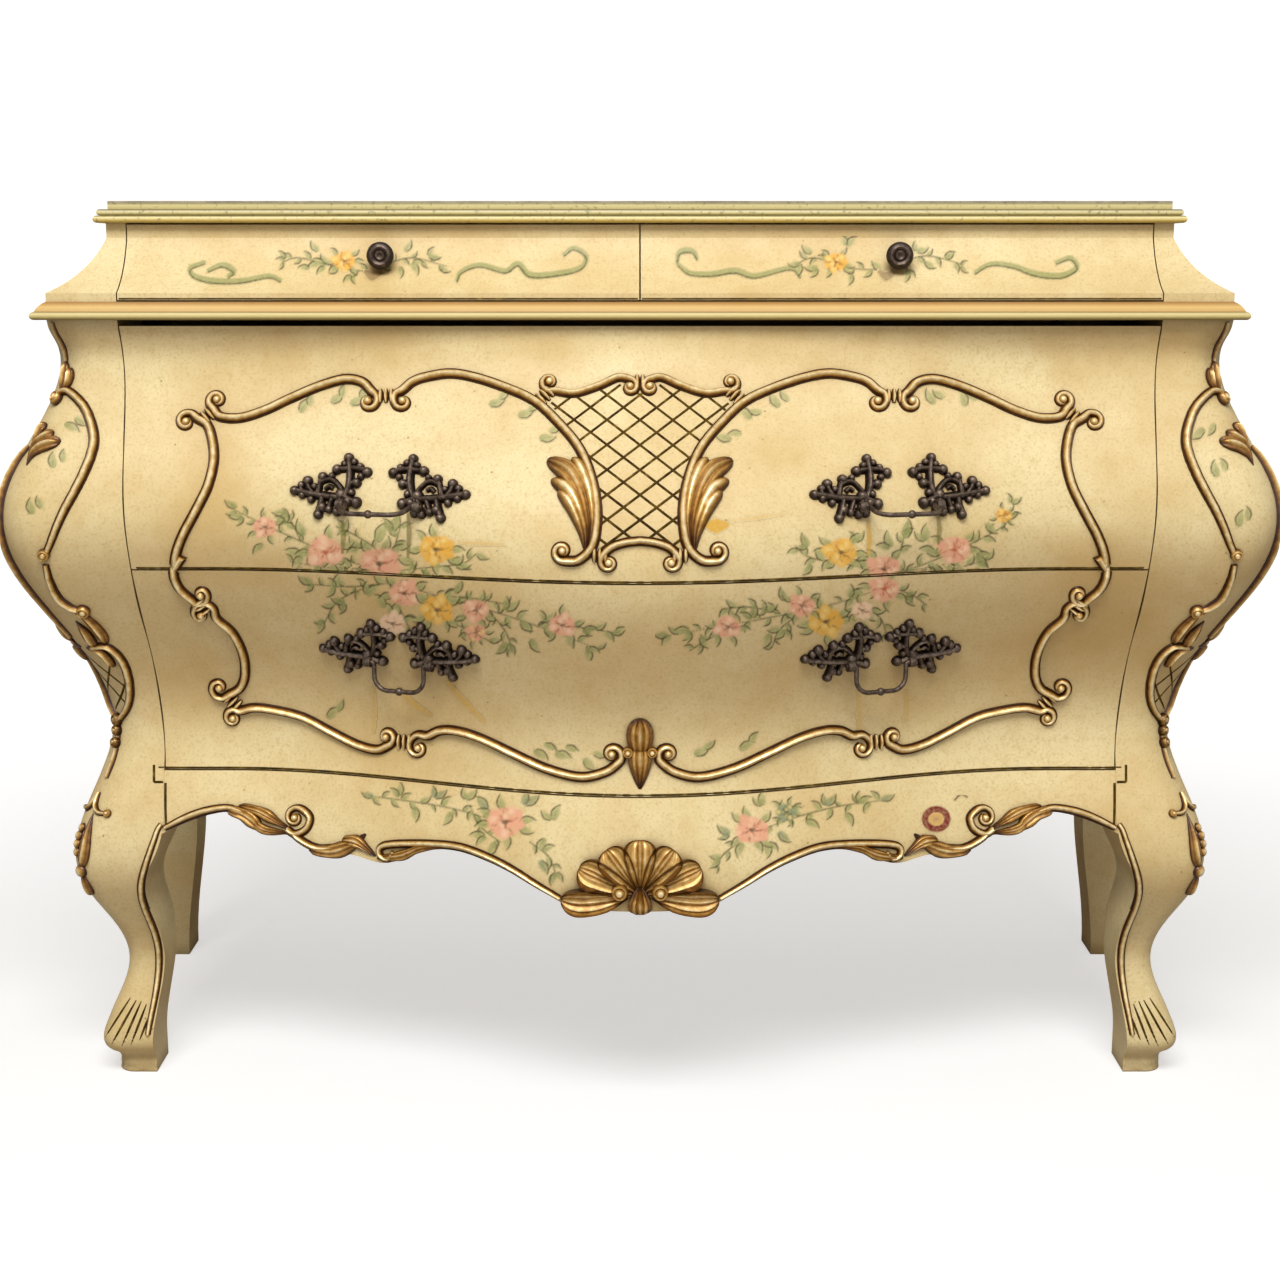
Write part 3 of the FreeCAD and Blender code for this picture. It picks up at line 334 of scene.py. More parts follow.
CREAM_PAINT, BRUSH_PAINT, GILDING, UMBER_AND_SHADE = cream_paint(), brush_paint(), gilding(), umber_and_shade_line()
BRONZE, BAIL_BRONZE = bronze("dark_bronze"), bronze("dark_bronze_bail", PLAIN_CREST)
ACROSS = bare_poplar("bare_poplar_across", (DRAWN_OUT, 1, 1))
BACKWARD = bare_poplar("bare_poplar_backward", (1, DRAWN_OUT, 1))
BACKWARD_PIECES = ("side_left", "side_right", "guides", "frieze_divider")
SLOT_LOOK = {"cream_paint": CREAM_PAINT, "gilt_wood": GILDING, "dark_bronze": BAIL_BRONZE,
             "painted_stone_top": painted_stone()}

for part in frame["record"]["subparts"]:
    solid = frame["nodes"][part["node"]]
    look = SLOT_LOOK.get(part["material_slot"])
    if look is None:
        look = BACKWARD if part["node"].endswith(BACKWARD_PIECES) else ACROSS
    if part["node"] == "waist_board":
        look = banded_paint("waist_board")
    solid.data.materials.clear()
    solid.data.materials.append(look)


# Grounds: each maps a flat drawing to points on the chest

def tree_of(*names):
    """The triangles of CAD nodes, for dropping points on them."""
    verts, faces = [], []
    for name in names:
        mesh = frame["nodes"][name].data
        start = len(verts)
        verts += [v.co.copy() for v in mesh.vertices]
        faces += [[start + i for i in face.vertices] for face in mesh.polygons]
    return BVHTree.FromPolygons(verts, faces)


def unit(value):
    """The value, held between 0 and 1."""
    return min(max(value, 0), 1)


# Photo points are set straight before they are laid on the chest: slope of the upper drawer, and the heights
# where that slope begins, is full and ends
SKEW_SLOPE, SKEW_TOP, SKEW_SPLIT, SKEW_FOOT = 0.01295, 325, 570, 770
# Shift to the right at each height, in full from twice this far off the middle
LEAN_FREE = 200
LEAN = [(0, 0), (600, 1), (735, 5), (840, 5), (930, 6), (1050, 10), (1280, 10)]


def straighten(u, v):
    """The photo point where the feature would be on an upright, symmetrical chest."""
    start = SKEW_TOP if v < SKEW_SPLIT else SKEW_FOOT
    weight = unit((v - start) / (SKEW_SPLIT - start))
    off = u - PHOTO_MIDDLE
    shift = float(np.interp(v, *zip(*LEAN))) * unit((abs(off) - LEAN_FREE) / LEAN_FREE)
    return u + shift, v + off * SKEW_SLOPE * weight


def photo_ground(tree, overhang=0):
    """Photo points to the carrier seen there, or past its lower edge, or to the nearest of it."""
    def ray_to(u, v):
        return FORWARD * FOCAL + Vector((u - PHOTO_MIDDLE, 0, 0)) - UPWARD * (v - PHOTO_MIDDLE)

    def place(u, v):
        u, v = straighten(u, v)
        ray = ray_to(u, v)
        for rise in range(overhang + 1):
            hit = tree.ray_cast(EYE, ray_to(u, v - rise))[0]
            if hit:
                return hit if rise == 0 else EYE + ray * ((hit.y - EYE.y) / ray.y)
        return tree.find_nearest(EYE + ray * (SUBJECT_DEPTH / FOCAL))[0]
    return place


def front_ground(tree):
    """Points given by x and z, in metres, to the front of a carrier."""
    def place(x, z):
        hit = tree.ray_cast(Vector((x, -FAR_OFF, z)), BACK)[0]
        if hit:
            return hit
        near = tree.find_nearest(Vector((x, cad_box[0].y / 2, z)))[0]
        return Vector((x, near.y, z))
    return place


CARRIERS = {"upper": "upper_drawer_front", "lower": "lower_drawer_front", "apron": "apron",
            "frieze_left": "frieze_drawer_left_front", "frieze_right": "frieze_drawer_right_front",
            "leg": "front_leg_left", "leg_right": "front_leg_right"}
BODIES = {"upper": "upper_drawer", "lower": "lower_drawer", "frieze_left": "frieze_drawer_left",
          "frieze_right": "frieze_drawer_right"}
TREES = {name: tree_of(node) for name, node in CARRIERS.items()}
ON_PHOTO = {name: photo_ground(tree) for name, tree in TREES.items()}
APRON_OVERHANG = 20
ON_PHOTO["apron_edge"] = photo_ground(TREES["apron"], APRON_OVERHANG)


# The corner post: distance round the section from the corner's diagonal, positive on the front, and height
POST_CORNER, ANKLE_CORNER, POST_FOOT, ANKLE = 45 * MM, 18 * MM, 370 * MM, 118 * MM
SIDE_PROBE, FRONT_PROBE, CORNER_PROBE = 20 * MM, 32 * MM, 200 * MM
QUARTER = math.pi / 4
leg_low, leg_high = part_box("front_leg_left")
axis_cache = {}


def corner_axis(z):
    """Centre of the post's rounded corner at a height, and the corner's radius."""
    key = round(z, 3)
    if key not in axis_cache:
        share = unit((key - ANKLE) / (POST_FOOT - ANKLE))
        radius = ANKLE_CORNER + (POST_CORNER - ANKLE_CORNER) * share
        side = TREES["leg"].ray_cast(Vector((-FAR_OFF, leg_high.y - SIDE_PROBE, key)), RIGHT)[0]
        front = TREES["leg"].ray_cast(Vector((leg_high.x - FRONT_PROBE, -FAR_OFF, key)), BACK)[0]
        outer = side.x if side else leg_low.x
        near = front.y if front else leg_low.y
        axis_cache[key] = (outer + radius, near + radius, radius)
    return axis_cache[key]


def post_ground(d, z):
    x, y, radius = corner_axis(z)
    half_arc = radius * QUARTER
    if abs(d) <= half_arc:
        angle = QUARTER - d / radius
        start, out = Vector((x, y, z)), Vector((-math.sin(angle), -math.cos(angle), 0))
    elif d > 0:
        start, out = Vector((x + d - half_arc, y, z)), OUT
    else:
        start, out = Vector((x, y - d - half_arc, z)), Vector((-1, 0, 0))
    hit = TREES["leg"].ray_cast(start + out * CORNER_PROBE, -out)[0]
    return hit if hit else start + out * radius


def on_post(u, v):
    """A photo point on the left post's front as distance round the post and height."""
    point = ON_PHOTO["leg"](u, v)
    x, y, radius = corner_axis(point.z)
    right, back = point.x - x, point.y - y
    if right > 0:
        return radius * QUARTER + right, point.z
    if back > 0:
        return 0, point.z
    return max((QUARTER - math.atan2(-right, -back)) * radius, 0), point.z


def facing(place, a, b, step, out):
    """Direction out of the ground at a point of the drawing."""
    across = place(a + step, b) - place(a - step, b)
    along = place(a, b + step) - place(a, b - step)
    normal = across.cross(along)
    if normal.length < 1e-12:
        return out.normalized()
    normal.normalize()
    return normal if normal.dot(out) > 0 else -normal


# Parts of a carving: vertices, faces and how near each vertex lies to the crest

def smooth(points, pieces=6):
    """A smooth line through a few points."""
    pts = [np.array(p, float) for p in points]
    pts = [2 * pts[0] - pts[1]] + pts + [2 * pts[-1] - pts[-2]]
    line = []
    for before, start, end, after in zip(pts, pts[1:], pts[2:], pts[3:]):
        for step in range(pieces):
            t = step / pieces
            twice = (2 * start + (end - before) * t + (2 * before - 5 * start + 4 * end - after) * t ** 2
                     + (3 * start - before - 3 * end + after) * t ** 3)
            line.append(twice / 2)
    return line + [pts[-2]]


def tube(rings, crests):
    """A closed skin over rings of points, with flat ends."""
    count = len(rings[0])
    verts = [p for ring in rings for p in ring]
    values = [c for ring in crests for c in ring]
    faces = []
    for row in range(len(rings) - 1):
        for i in range(count):
            j = (i + 1) % count
            faces.append((row * count + i, row * count + j, (row + 1) * count + j, (row + 1) * count + i))
    faces.append(tuple(reversed(range(count))))
    faces.append(tuple(range((len(rings) - 1) * count, len(rings) * count)))
    return verts, faces, values


# Section of a moulding: across and up, as shares of its half width and height
BEAD = [(-1, -0.4), (-1, 0.12), (-0.88, 0.26), (-0.7, 0.2), (-0.62, 0.45), (-0.38, 0.85), (0, 1),
        (0.38, 0.85), (0.62, 0.45), (0.7, 0.2), (0.88, 0.26), (1, 0.12), (1, -0.4)]
DOME = [(0.02, 1), (0.3, 0.96), (0.46, 0.72), (0.56, 0.66), (0.72, 0.84), (0.88, 0.66), (1, 0.25),
        (1.02, -0.3)]
BALL = [(0.02, 1), (0.35, 0.95), (0.65, 0.78), (0.88, 0.5), (1, 0.15), (1, -0.3)]
DOME_SIDES = 16


def stroke(place, points, half, height, step, out=OUT, taper=0.4, pieces=6):
    """A carved bead along a drawn line."""
    line = smooth(points, pieces)
    spots = [place(*p[:2]) for p in line]
    rings, crests = [], []
    for i, (a, b, *share) in enumerate(line):
        along = (spots[min(i + 1, len(spots) - 1)] - spots[max(i - 1, 0)]).normalized()
        normal = facing(place, a, b, step, out)
        side = along.cross(normal).normalized()
        swell = (share[0] if share else 1) * (1 - taper * (2 * i / (len(line) - 1) - 1) ** 2)
        rings.append([spots[i] + side * (across * half * swell) + normal * (up * height * swell)
                      for across, up in BEAD])
        crests.append([max(up, 0) for across, up in BEAD])
    return tube(rings, crests)


def dome(place, a, b, radius, height, step, out=OUT, profile=DOME):
    """A round eye, grooved as at the end of a scroll, or a plain ball."""
    base, normal = place(a, b), facing(place, a, b, step, out)
    right = normal.cross(Vector((0, 0, 1))).normalized()
    above = right.cross(normal)
    turns = [2 * math.pi * i / DOME_SIDES for i in range(DOME_SIDES)]
    rim = [right * math.cos(t) + above * math.sin(t) for t in turns]
    rings = [[base + way * (share * radius) + normal * (up * height) for way in rim] for share, up in profile]
    return tube(rings, [[max(up, 0)] * DOME_SIDES for share, up in profile])


# A carved leaf: points across it, how deep it is set in, and shares of its length, width and height
LEAF_ACROSS, LEAF_SINK = 15, 1.2 * MM
LEAF_START, LEAF_RUN, LEAF_LEAST, LEAF_SWELL, LEAF_FAN = 0.04, 0.94, 0.04, 0.75, 0.7
ROUND_FROM, ROUND_ROOT, ROUND_END = 0.7, 0.12, 0.002
NOTCH_DEEP, NOTCH_FROM = 0.22, 0.6
FLUTE_DEEP, CROWN_FALL, SCOOP_FLOOR = 0.38, 0.85, 0.45
RIM_FROM, RIM_SHADE_CREST, SCOOP_CREST, SCOOP_RIPPLE, CREST_LIFT = 0.9, 0.3, 0.55, 0.4, 0.3


def leaf_width(s, fan, blunt):
    """Share of a leaf's full width at a share of its length."""
    if not blunt:
        return max(math.sin(math.pi * (LEAF_START + LEAF_RUN * s ** fan)), LEAF_LEAST) ** LEAF_SWELL
    grown = ROUND_ROOT + (1 - ROUND_ROOT) * math.sin(math.pi / 2 * min(s / ROUND_FROM, 1))
    return grown * math.sqrt(max(1 - (max(s - ROUND_FROM, 0) / (1 - ROUND_FROM)) ** 2, ROUND_END))


def leaf(place, points, half, height, step, out=OUT, lobes=0, flutes=1, scoop=False, fan=LEAF_FAN,
         blunt=False):
    """A carved leaf on a spine: lobed edges, flutes along it, a pointed or a round tip, scooped if asked."""
    line = smooth(points)
    last = len(line) - 1
    shares = np.sin(np.linspace(0, math.pi / 2, last + 1)) if blunt else np.linspace(0, 1, last + 1)
    line = list(zip(*(np.interp(shares * last, np.arange(last + 1), column) for column in np.array(line).T)))
    rings, crests = [], []
    for i, (a, b) in enumerate(line):
        s = shares[i]
        along = np.array(line[min(i + 1, last)]) - np.array(line[max(i - 1, 0)])
        side = np.array([-along[1], along[0]]) / max(np.hypot(*along), 1e-9)
        body = leaf_width(s, fan, blunt)
        notch = 1 - NOTCH_DEEP * (0.5 - 0.5 * math.cos(2 * math.pi * lobes * s))
        upper, lower, tops = [], [], []
        for k in range(LEAF_ACROSS):
            t = 2 * k / (LEAF_ACROSS - 1) - 1
            wide = half * body * (notch if abs(t) > NOTCH_FROM else (1 + notch) / 2)
            pa, pb = a + side[0] * t * wide, b + side[1] * t * wide
            spot, normal = place(pa, pb), facing(place, pa, pb, step, out)
            ripple = 0.5 + 0.5 * math.cos(2 * math.pi * flutes * t)
            crown = math.sqrt(max(1 - CROWN_FALL * t * t, 0))
            bowl = SCOOP_FLOOR + (1 - SCOOP_FLOOR) * t * t if scoop else crown
            up = body * bowl * (1 - FLUTE_DEEP + FLUTE_DEEP * ripple)
            upper.append(spot + normal * (up * height))
            lower.append(spot - normal * LEAF_SINK)
            # on a scooped leaf the crest value is not its height: the rim is darkened as painted shade and the
            # ribs inside are lightened as a painted highlight
            wear_and_painted_light = RIM_SHADE_CREST if abs(t) > RIM_FROM else SCOOP_CREST + SCOOP_RIPPLE * ripple
            tops.append(wear_and_painted_light * min(body + CREST_LIFT, 1) if scoop else min(up, 1))
        rings.append(upper + lower[::-1])
        crests.append(tops + [0] * LEAF_ACROSS)
    return tube(rings, crests)


def mirrored(part):
    verts, faces, values = part
    return [Vector((-p.x, p.y, p.z)) for p in verts], [tuple(reversed(face)) for face in faces], values


def both(parts):
    return parts + [mirrored(part) for part in parts]


CARVED_CREASE, PAINTED_CREASE = math.radians(50), math.radians(30)


def new_object(name, verts, faces):
    mesh = bpy.data.meshes.new(name)
    mesh.from_pydata(verts, [], faces)
    made = bpy.data.objects.new(name, mesh)
    bpy.context.scene.collection.objects.link(made)
    return made


def choose(made):
    """Select one object alone and make it active."""
    bpy.ops.object.select_all(action="DESELECT")
    made.select_set(True)
    bpy.context.view_layer.objects.active = made


def set_on(made, look, crease, body):
    """Give the chosen piece its finish, smooth it and set it on its body."""
    made.data.materials.append(look)
    bpy.ops.object.shade_smooth_by_angle(angle=crease)
    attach(made, body)


def finish_piece(made, look, body, replaced=()):
    """Turn the faces of a closed mesh outwards and set it on its body."""
    choose(made)
    bpy.ops.object.mode_set(mode="EDIT")
    bpy.ops.mesh.select_all(action="SELECT")
    bpy.ops.mesh.normals_make_consistent(inside=False)
    bpy.ops.object.mode_set(mode="OBJECT")
    set_on(made, look, CARVED_CREASE, body)
    if replaced:
        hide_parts(*replaced)


def piece(name, parts, look, body, replaced=()):
    """One object made of closed parts, kept inside the CAD box and set on its body."""
    verts, faces, values = [], [], []
    for part_verts, part_faces, part_values in parts:
        start = len(verts)
        verts += part_verts
        faces += [tuple(start + i for i in face) for face in part_faces]
        values += part_values
    for point in verts:
        point.x = min(max(point.x, cad_box[0].x), cad_box[1].x)
        point.y = max(point.y, cad_box[0].y)
    made = new_object(name, verts, faces)
    made.data.attributes.new("crest", "FLOAT", "POINT").data.foreach_set("value", values)
    finish_piece(made, look, body, replaced)


# Drawing in photo points: step for facings, cut lines, full and fine beads, the volutes at their ends, clasps
PHOTO_STEP = 3
CUT_HALF, CUT_HIGH = 1.3 * MM, 0.5 * MM
BEAD_HALF, FINE_HALF, BEAD_HIGH, BEAD_TAPER = 5.2 * MM, 4.6 * MM, 6.5 * MM, 0.3
EYE_RADIUS, EYE_HIGH = 4.6 * MM, 7 * MM
VOLUTE_TURN, VOLUTE_STEPS, VOLUTE_EYE, VOLUTE_WIND = math.radians(380), 9, 3.4, 1.5
VOLUTE_WIDE, VOLUTE_THIN = 0.9, 0.4
CLASP_LONG, CLASP_APART, CLASP_HALF, CLASP_HIGH = 14, 5.5, 2.9 * MM, 5.5 * MM


def volute(points):
    """The end of a line wound round its last point, the eye: places and shares of the bead's width."""
    eye, start, before = (np.array(p, float) for p in (points[-1], points[-2], points[-3]))
    reach, travel = start - eye, start - before
    turn = 1 if reach[0] * travel[1] - reach[1] * travel[0] > 0 else -1
    far, first = math.hypot(*reach), math.atan2(reach[1], reach[0])
    wound = []
    for step in range(1, VOLUTE_STEPS + 1):
        share = step / VOLUTE_STEPS
        radius = VOLUTE_EYE + (far - VOLUTE_EYE) * (1 - share) ** VOLUTE_WIND
        angle = first + turn * VOLUTE_TURN * share
        wound.append((eye[0] + radius * math.cos(angle), eye[1] + radius * math.sin(angle),
                      VOLUTE_WIDE - VOLUTE_THIN * share))
    return wound


def scroll(carrier, points, half, height, start_eye, end_eye):
    """A drawn bead that winds into a volute at the ends asked for, from photo points."""
    place = ON_PHOTO[carrier]
    line, eyes = [(u, v, 1) for u, v in points], []
    if end_eye:
        line = line[:-1] + volute(points)
        eyes.append(points[-1])
    if start_eye:
        line = volute(points[::-1])[::-1] + line[1:]
        eyes.append(points[0])
    parts = [stroke(place, line, half, height, PHOTO_STEP, taper=0 if eyes else BEAD_TAPER)]
    return parts + [dome(place, u, v, EYE_RADIUS, EYE_HIGH, PHOTO_STEP, profile=BALL) for u, v in eyes]


def scrolls(carrier, lines, ends):
    parts = []
    for points, (half, start_eye, end_eye) in zip(lines, ends):
        parts += scroll(carrier, points, half, BEAD_HIGH, start_eye, end_eye)
    return parts


def clasp(carrier, u, v, angle, ribs=3):
    """A bound clasp between two scrolls: short ribs side by side."""
    turn = math.radians(angle)
    along, across = np.array([math.sin(turn), -math.cos(turn)]), np.array([math.cos(turn), math.sin(turn)])
    parts = []
    for rib in range(ribs):
        middle = np.array([u, v]) + across * ((rib - (ribs - 1) / 2) * CLASP_APART)
        ends = [middle + along * (e * CLASP_LONG / 2) for e in (-1, 0, 1)]
        parts.append(stroke(ON_PHOTO[carrier], ends, CLASP_HALF, CLASP_HIGH, PHOTO_STEP, taper=0.5))
    return parts


# Gilding of the upper drawer, drawn on its left half in photo points; ends: half width, volute or none
UPPER_SCROLLS = [
    [(186, 425), (197, 421), (207, 428), (212, 445), (213, 465), (207, 490), (195, 515), (182, 540),
     (175, 560), (173, 580)],
    [(217, 402), (213, 411), (220, 419), (240, 420), (265, 412), (290, 400), (320, 387), (345, 380),
     (362, 383), (371, 392), (368, 403)],
    [(403, 403), (403, 391), (412, 383), (425, 378), (450, 374), (475, 378), (505, 388), (535, 402),
     (560, 425), (580, 450), (592, 480), (597, 510), (595, 538), (589, 552), (578, 561), (567, 562),
     (563, 552)],
    [(550, 383), (556, 392), (575, 394), (600, 386), (618, 378), (630, 380), (630, 388)],
    [(609, 563), (603, 556), (611, 548), (625, 543), (640, 541)],
]
UPPER_ENDS = [(BEAD_HALF, True, False), (BEAD_HALF, True, True), (BEAD_HALF, True, True),
              (FINE_HALF, True, True), (FINE_HALF, True, False)]
UPPER_CLASPS = [(209, 416, -40), (386, 397, 0), (545, 396, -45), (600, 556, 0), (640, 382, 0)]
# Acanthus beside the inner scrolls: round lobes that grow up the scroll, their half widths and ridges
ACANTHUS = [([(588, 553), (593, 525), (590, 495), (581, 471), (572, 459)], 7.5, 0.5),
            ([(585, 553), (582, 533), (575, 514), (568, 502), (558, 492)], 7, 0.5),
            ([(586, 553), (585, 529), (577, 505), (567, 490), (551, 481)], 8.5, 0.5),
            ([(587, 553), (588, 526), (582, 497), (569, 474), (547, 461)], 11, 1.5)]
ACANTHUS_HIGH = 10 * MM


def upper_gilding():
    place = ON_PHOTO["upper"]
    half = scrolls("upper", UPPER_SCROLLS, UPPER_ENDS)
    for u, v, angle in UPPER_CLASPS:
        half += clasp("upper", u, v, angle, ribs=3 if u < PHOTO_MIDDLE else 2)
    half += [leaf(place, spine, wide, ACANTHUS_HIGH, PHOTO_STEP, flutes=ridges, blunt=True)
             for spine, wide, ridges in ACANTHUS]
    piece("upper_drawer_gilding", both(half), GILDING, "upper_drawer",
          ("upper_drawer_moulding",))


# Gilding of the lower drawer, drawn as on the upper one, with a fleuron in the middle
LOWER_SCROLLS = [
    [(172, 574), (174, 585), (180, 595), (190, 603), (200, 599)],
    [(200, 618), (215, 622), (230, 635), (240, 655), (242, 675), (237, 689), (226, 696), (216, 689)],
    [(229, 719), (236, 712), (250, 709), (270, 711), (300, 718), (330, 733), (355, 745), (375, 750),
     (387, 746), (386, 737)],
    [(419, 748), (428, 736), (440, 731), (456, 731), (480, 738), (510, 752), (545, 768), (580, 777),
     (605, 772), (619, 762), (612, 754)],
]
LOWER_CLASPS = [(200, 611, 60), (229, 703, 45), (404, 742, 0)]
LOWER_ENDS = [(BEAD_HALF, False, True)] + [(BEAD_HALF, True, True)] * 3
FLEURON_TOP, FLEURON_TOP_WIDE = [(640, 762), (640, 750), (640, 735), (640, 718)], 13.5
FLEURON_FOOT, FLEURON_FOOT_WIDE = [(640, 746), (640, 760), (640, 774), (640, 789)], 12
FLEURON_TOP_HIGH, FLEURON_FOOT_HIGH, FLEURON_FAN = 10 * MM, 8 * MM, 0.55
FLEURON_EYE, FLEURON_EYE_RADIUS, FLEURON_EYE_HIGH = (628, 752), 5.5 * MM, 9 * MM


def lower_gilding():
    place = ON_PHOTO["lower"]
    half = scrolls("lower", LOWER_SCROLLS, LOWER_ENDS)
    for u, v, angle in LOWER_CLASPS:
        half += clasp("lower", u, v, angle)
    half.append(dome(place, *FLEURON_EYE, FLEURON_EYE_RADIUS, FLEURON_EYE_HIGH, PHOTO_STEP))
    parts = both(half)
    parts.append(leaf(place, FLEURON_FOOT, FLEURON_FOOT_WIDE, FLEURON_FOOT_HIGH, PHOTO_STEP, flutes=2,
                      fan=FLEURON_FAN))
    parts.append(leaf(place, FLEURON_TOP, FLEURON_TOP_WIDE, FLEURON_TOP_HIGH, PHOTO_STEP, flutes=2,
                      blunt=True))
    piece("lower_drawer_gilding", parts, GILDING, "lower_drawer", ("lower_drawer_moulding",))


# Gilding of the apron: lines with the volutes at their ends, and leaves with their half widths and lobes
APRON_SCROLLS = [
    ([(160, 828), (174, 821), (188, 815), (205, 810), (224, 808), (242, 814)], False, False),
    ([(292, 818), (300, 810), (307, 818), (303, 829), (292, 834), (284, 830)], True, False),
    ([(284, 828), (296, 839), (315, 848), (337, 846)], False, False),
    ([(393, 852), (387, 859), (379, 855), (380, 847), (395, 844), (430, 844), (460, 847), (488, 857),
      (512, 869), (536, 884), (560, 898)], False, False),
]
APRON_LEAVES = [([(222, 809), (240, 815), (254, 826), (262, 834)], 8, 2),
                ([(234, 806), (256, 812), (272, 821), (286, 829)], 6.5, 2),
                ([(248, 822), (262, 830), (286, 833)], 5, 0),
                ([(306, 849), (330, 851), (350, 845), (364, 834)], 8.5, 2),
                ([(340, 840), (356, 842), (374, 856)], 7, 2),
                ([(376, 858), (402, 855), (425, 847), (455, 848)], 5.5, 3)]
APRON_HALF, APRON_HIGH, APRON_LEAF_HIGH = 4.4 * MM, 6 * MM, 7 * MM
# Open joint where the apron meets the leg, with the notch beside the drawer
APRON_JOINT = [(160.5, 783), (160.5, 806), (161, 827)]
NOTCH = [[(149, 765), (149, 774), (149, 782)], [(149, 782), (153, 782), (158, 782)]]


def apron_gilding():
    half = []
    for points, start_eye, end_eye in APRON_SCROLLS:
        half += scroll("apron_edge", points, APRON_HALF, APRON_HIGH, start_eye, end_eye)
    for points, wide, lobes in APRON_LEAVES:
        half.append(leaf(ON_PHOTO["apron_edge"], points, wide, APRON_LEAF_HIGH, PHOTO_STEP, lobes=lobes,
                         flutes=1.5))
    joints = [stroke(ON_PHOTO["apron"], APRON_JOINT, CUT_HALF, CUT_HIGH, PHOTO_STEP, taper=0)]
    joints += [stroke(ON_PHOTO["leg"], points, CUT_HALF, CUT_HIGH, PHOTO_STEP, taper=0) for points in NOTCH]
    piece("apron_joints", both(joints), UMBER_AND_SHADE, "carcass")
    piece("apron_gilding", both(half), GILDING, "carcass", ("apron_carving",))


# Shell in the middle of the apron: scooped lobes round a hinge, two wings and two scroll eyes
SHELL_ROOT = (640, 895)
SHELL_LOBES, LOBE_HIGH = [(640, 840, 16), (674, 850, 16), (701, 868, 15)], 12 * MM
LOBE_SHARES = (0.06, 0.4, 0.75, 1)
SHELL_WING, WING_WIDE, WING_HIGH = [(652, 897), (672, 899), (696, 901), (719, 899)], 12.5, 13 * MM
SHELL_HUSK, HUSK_WIDE, HUSK_HIGH = [(640, 886), (640, 895), (640, 904), (640, 914)], 12, 14 * MM
SHELL_EYE, SHELL_EYE_RADIUS, SHELL_EYE_HIGH = (660, 891), 8.5 * MM, 13 * MM


def shell():
    place = ON_PHOTO["apron_edge"]
    half, middle = [], []
    for u, v, wide in SHELL_LOBES:
        reach = [(SHELL_ROOT[0] + (u - SHELL_ROOT[0]) * s, SHELL_ROOT[1] + (v - SHELL_ROOT[1]) * s)
                 for s in LOBE_SHARES]
        lobe = leaf(place, reach, wide, LOBE_HIGH, PHOTO_STEP, flutes=3, scoop=True, blunt=True)
        (middle if u == SHELL_ROOT[0] else half).append(lobe)
    half.append(leaf(place, SHELL_WING, WING_WIDE, WING_HIGH, PHOTO_STEP, flutes=2, scoop=True, blunt=True))
    half.append(dome(place, *SHELL_EYE, SHELL_EYE_RADIUS, SHELL_EYE_HIGH, PHOTO_STEP))
    middle.append(leaf(place, SHELL_HUSK, HUSK_WIDE, HUSK_HIGH, PHOTO_STEP, flutes=2, blunt=True))
    piece("apron_shell_carving", both(half) + middle, GILDING, "carcass", ("apron_shell",))


# Carving on the corner posts, drawn on the left post and turned about its diagonal
POST_STEP = 3 * MM
POST_OUT = Vector((-1, -1, 0)).normalized()
POST_BEADS = [
    ([(57, 401), (61, 395), (69, 394), (82, 407), (91, 428), (93, 448), (86, 471), (75, 494), (63, 517),
      (52, 543), (45, 562)], 5.4),
    ([(45, 572), (50, 590), (58, 604), (70, 613), (81, 616)], 5),
    ([(90, 651), (104, 650), (118, 662), (126, 685), (124, 708), (114, 724)], 5)]
POST_EYES = [(57, 401, 7.5), (43, 562, 6), (82, 616, 7), (112, 720, 7), (113, 731, 6), (111, 743, 6)]
POST_LEAVES = [([(26, 470), (33, 458), (45, 449), (60, 446)], 7),
               ([(27, 463), (35, 449), (46, 441), (54, 436)], 6),
               ([(30, 455), (36, 442), (42, 433), (47, 428)], 5.5),
               ([(70, 616), (84, 622), (96, 634), (104, 647)], 6.5), ([(74, 626), (84, 636), (93, 650)], 6),
               ([(84, 652), (98, 654), (112, 670)], 5.5)]
POST_NET = [[(-0.014, 0.447), (0.008, 0.428), (0.026, 0.408)], [(-0.018, 0.43), (0.002, 0.41), (0.018, 0.39)],
            [(0.026, 0.442), (0.006, 0.42), (-0.014, 0.4)], [(0.028, 0.42), (0.012, 0.4), (-0.004, 0.384)]]
OUTER_BEAD = [(-0.006, 0.655), (-0.014, 0.64), (-0.018, 0.61), (-0.018, 0.58), (-0.017, 0.54),
              (-0.014, 0.505), (-0.008, 0.465)]
OUTER_HALF, OUTER_HIGH = 5.5 * MM, 7 * MM
POST_BEAD_HIGH, POST_EYE_HIGH, POST_LEAF_HIGH = 6.5 * MM, 7.5 * MM, 7.5 * MM
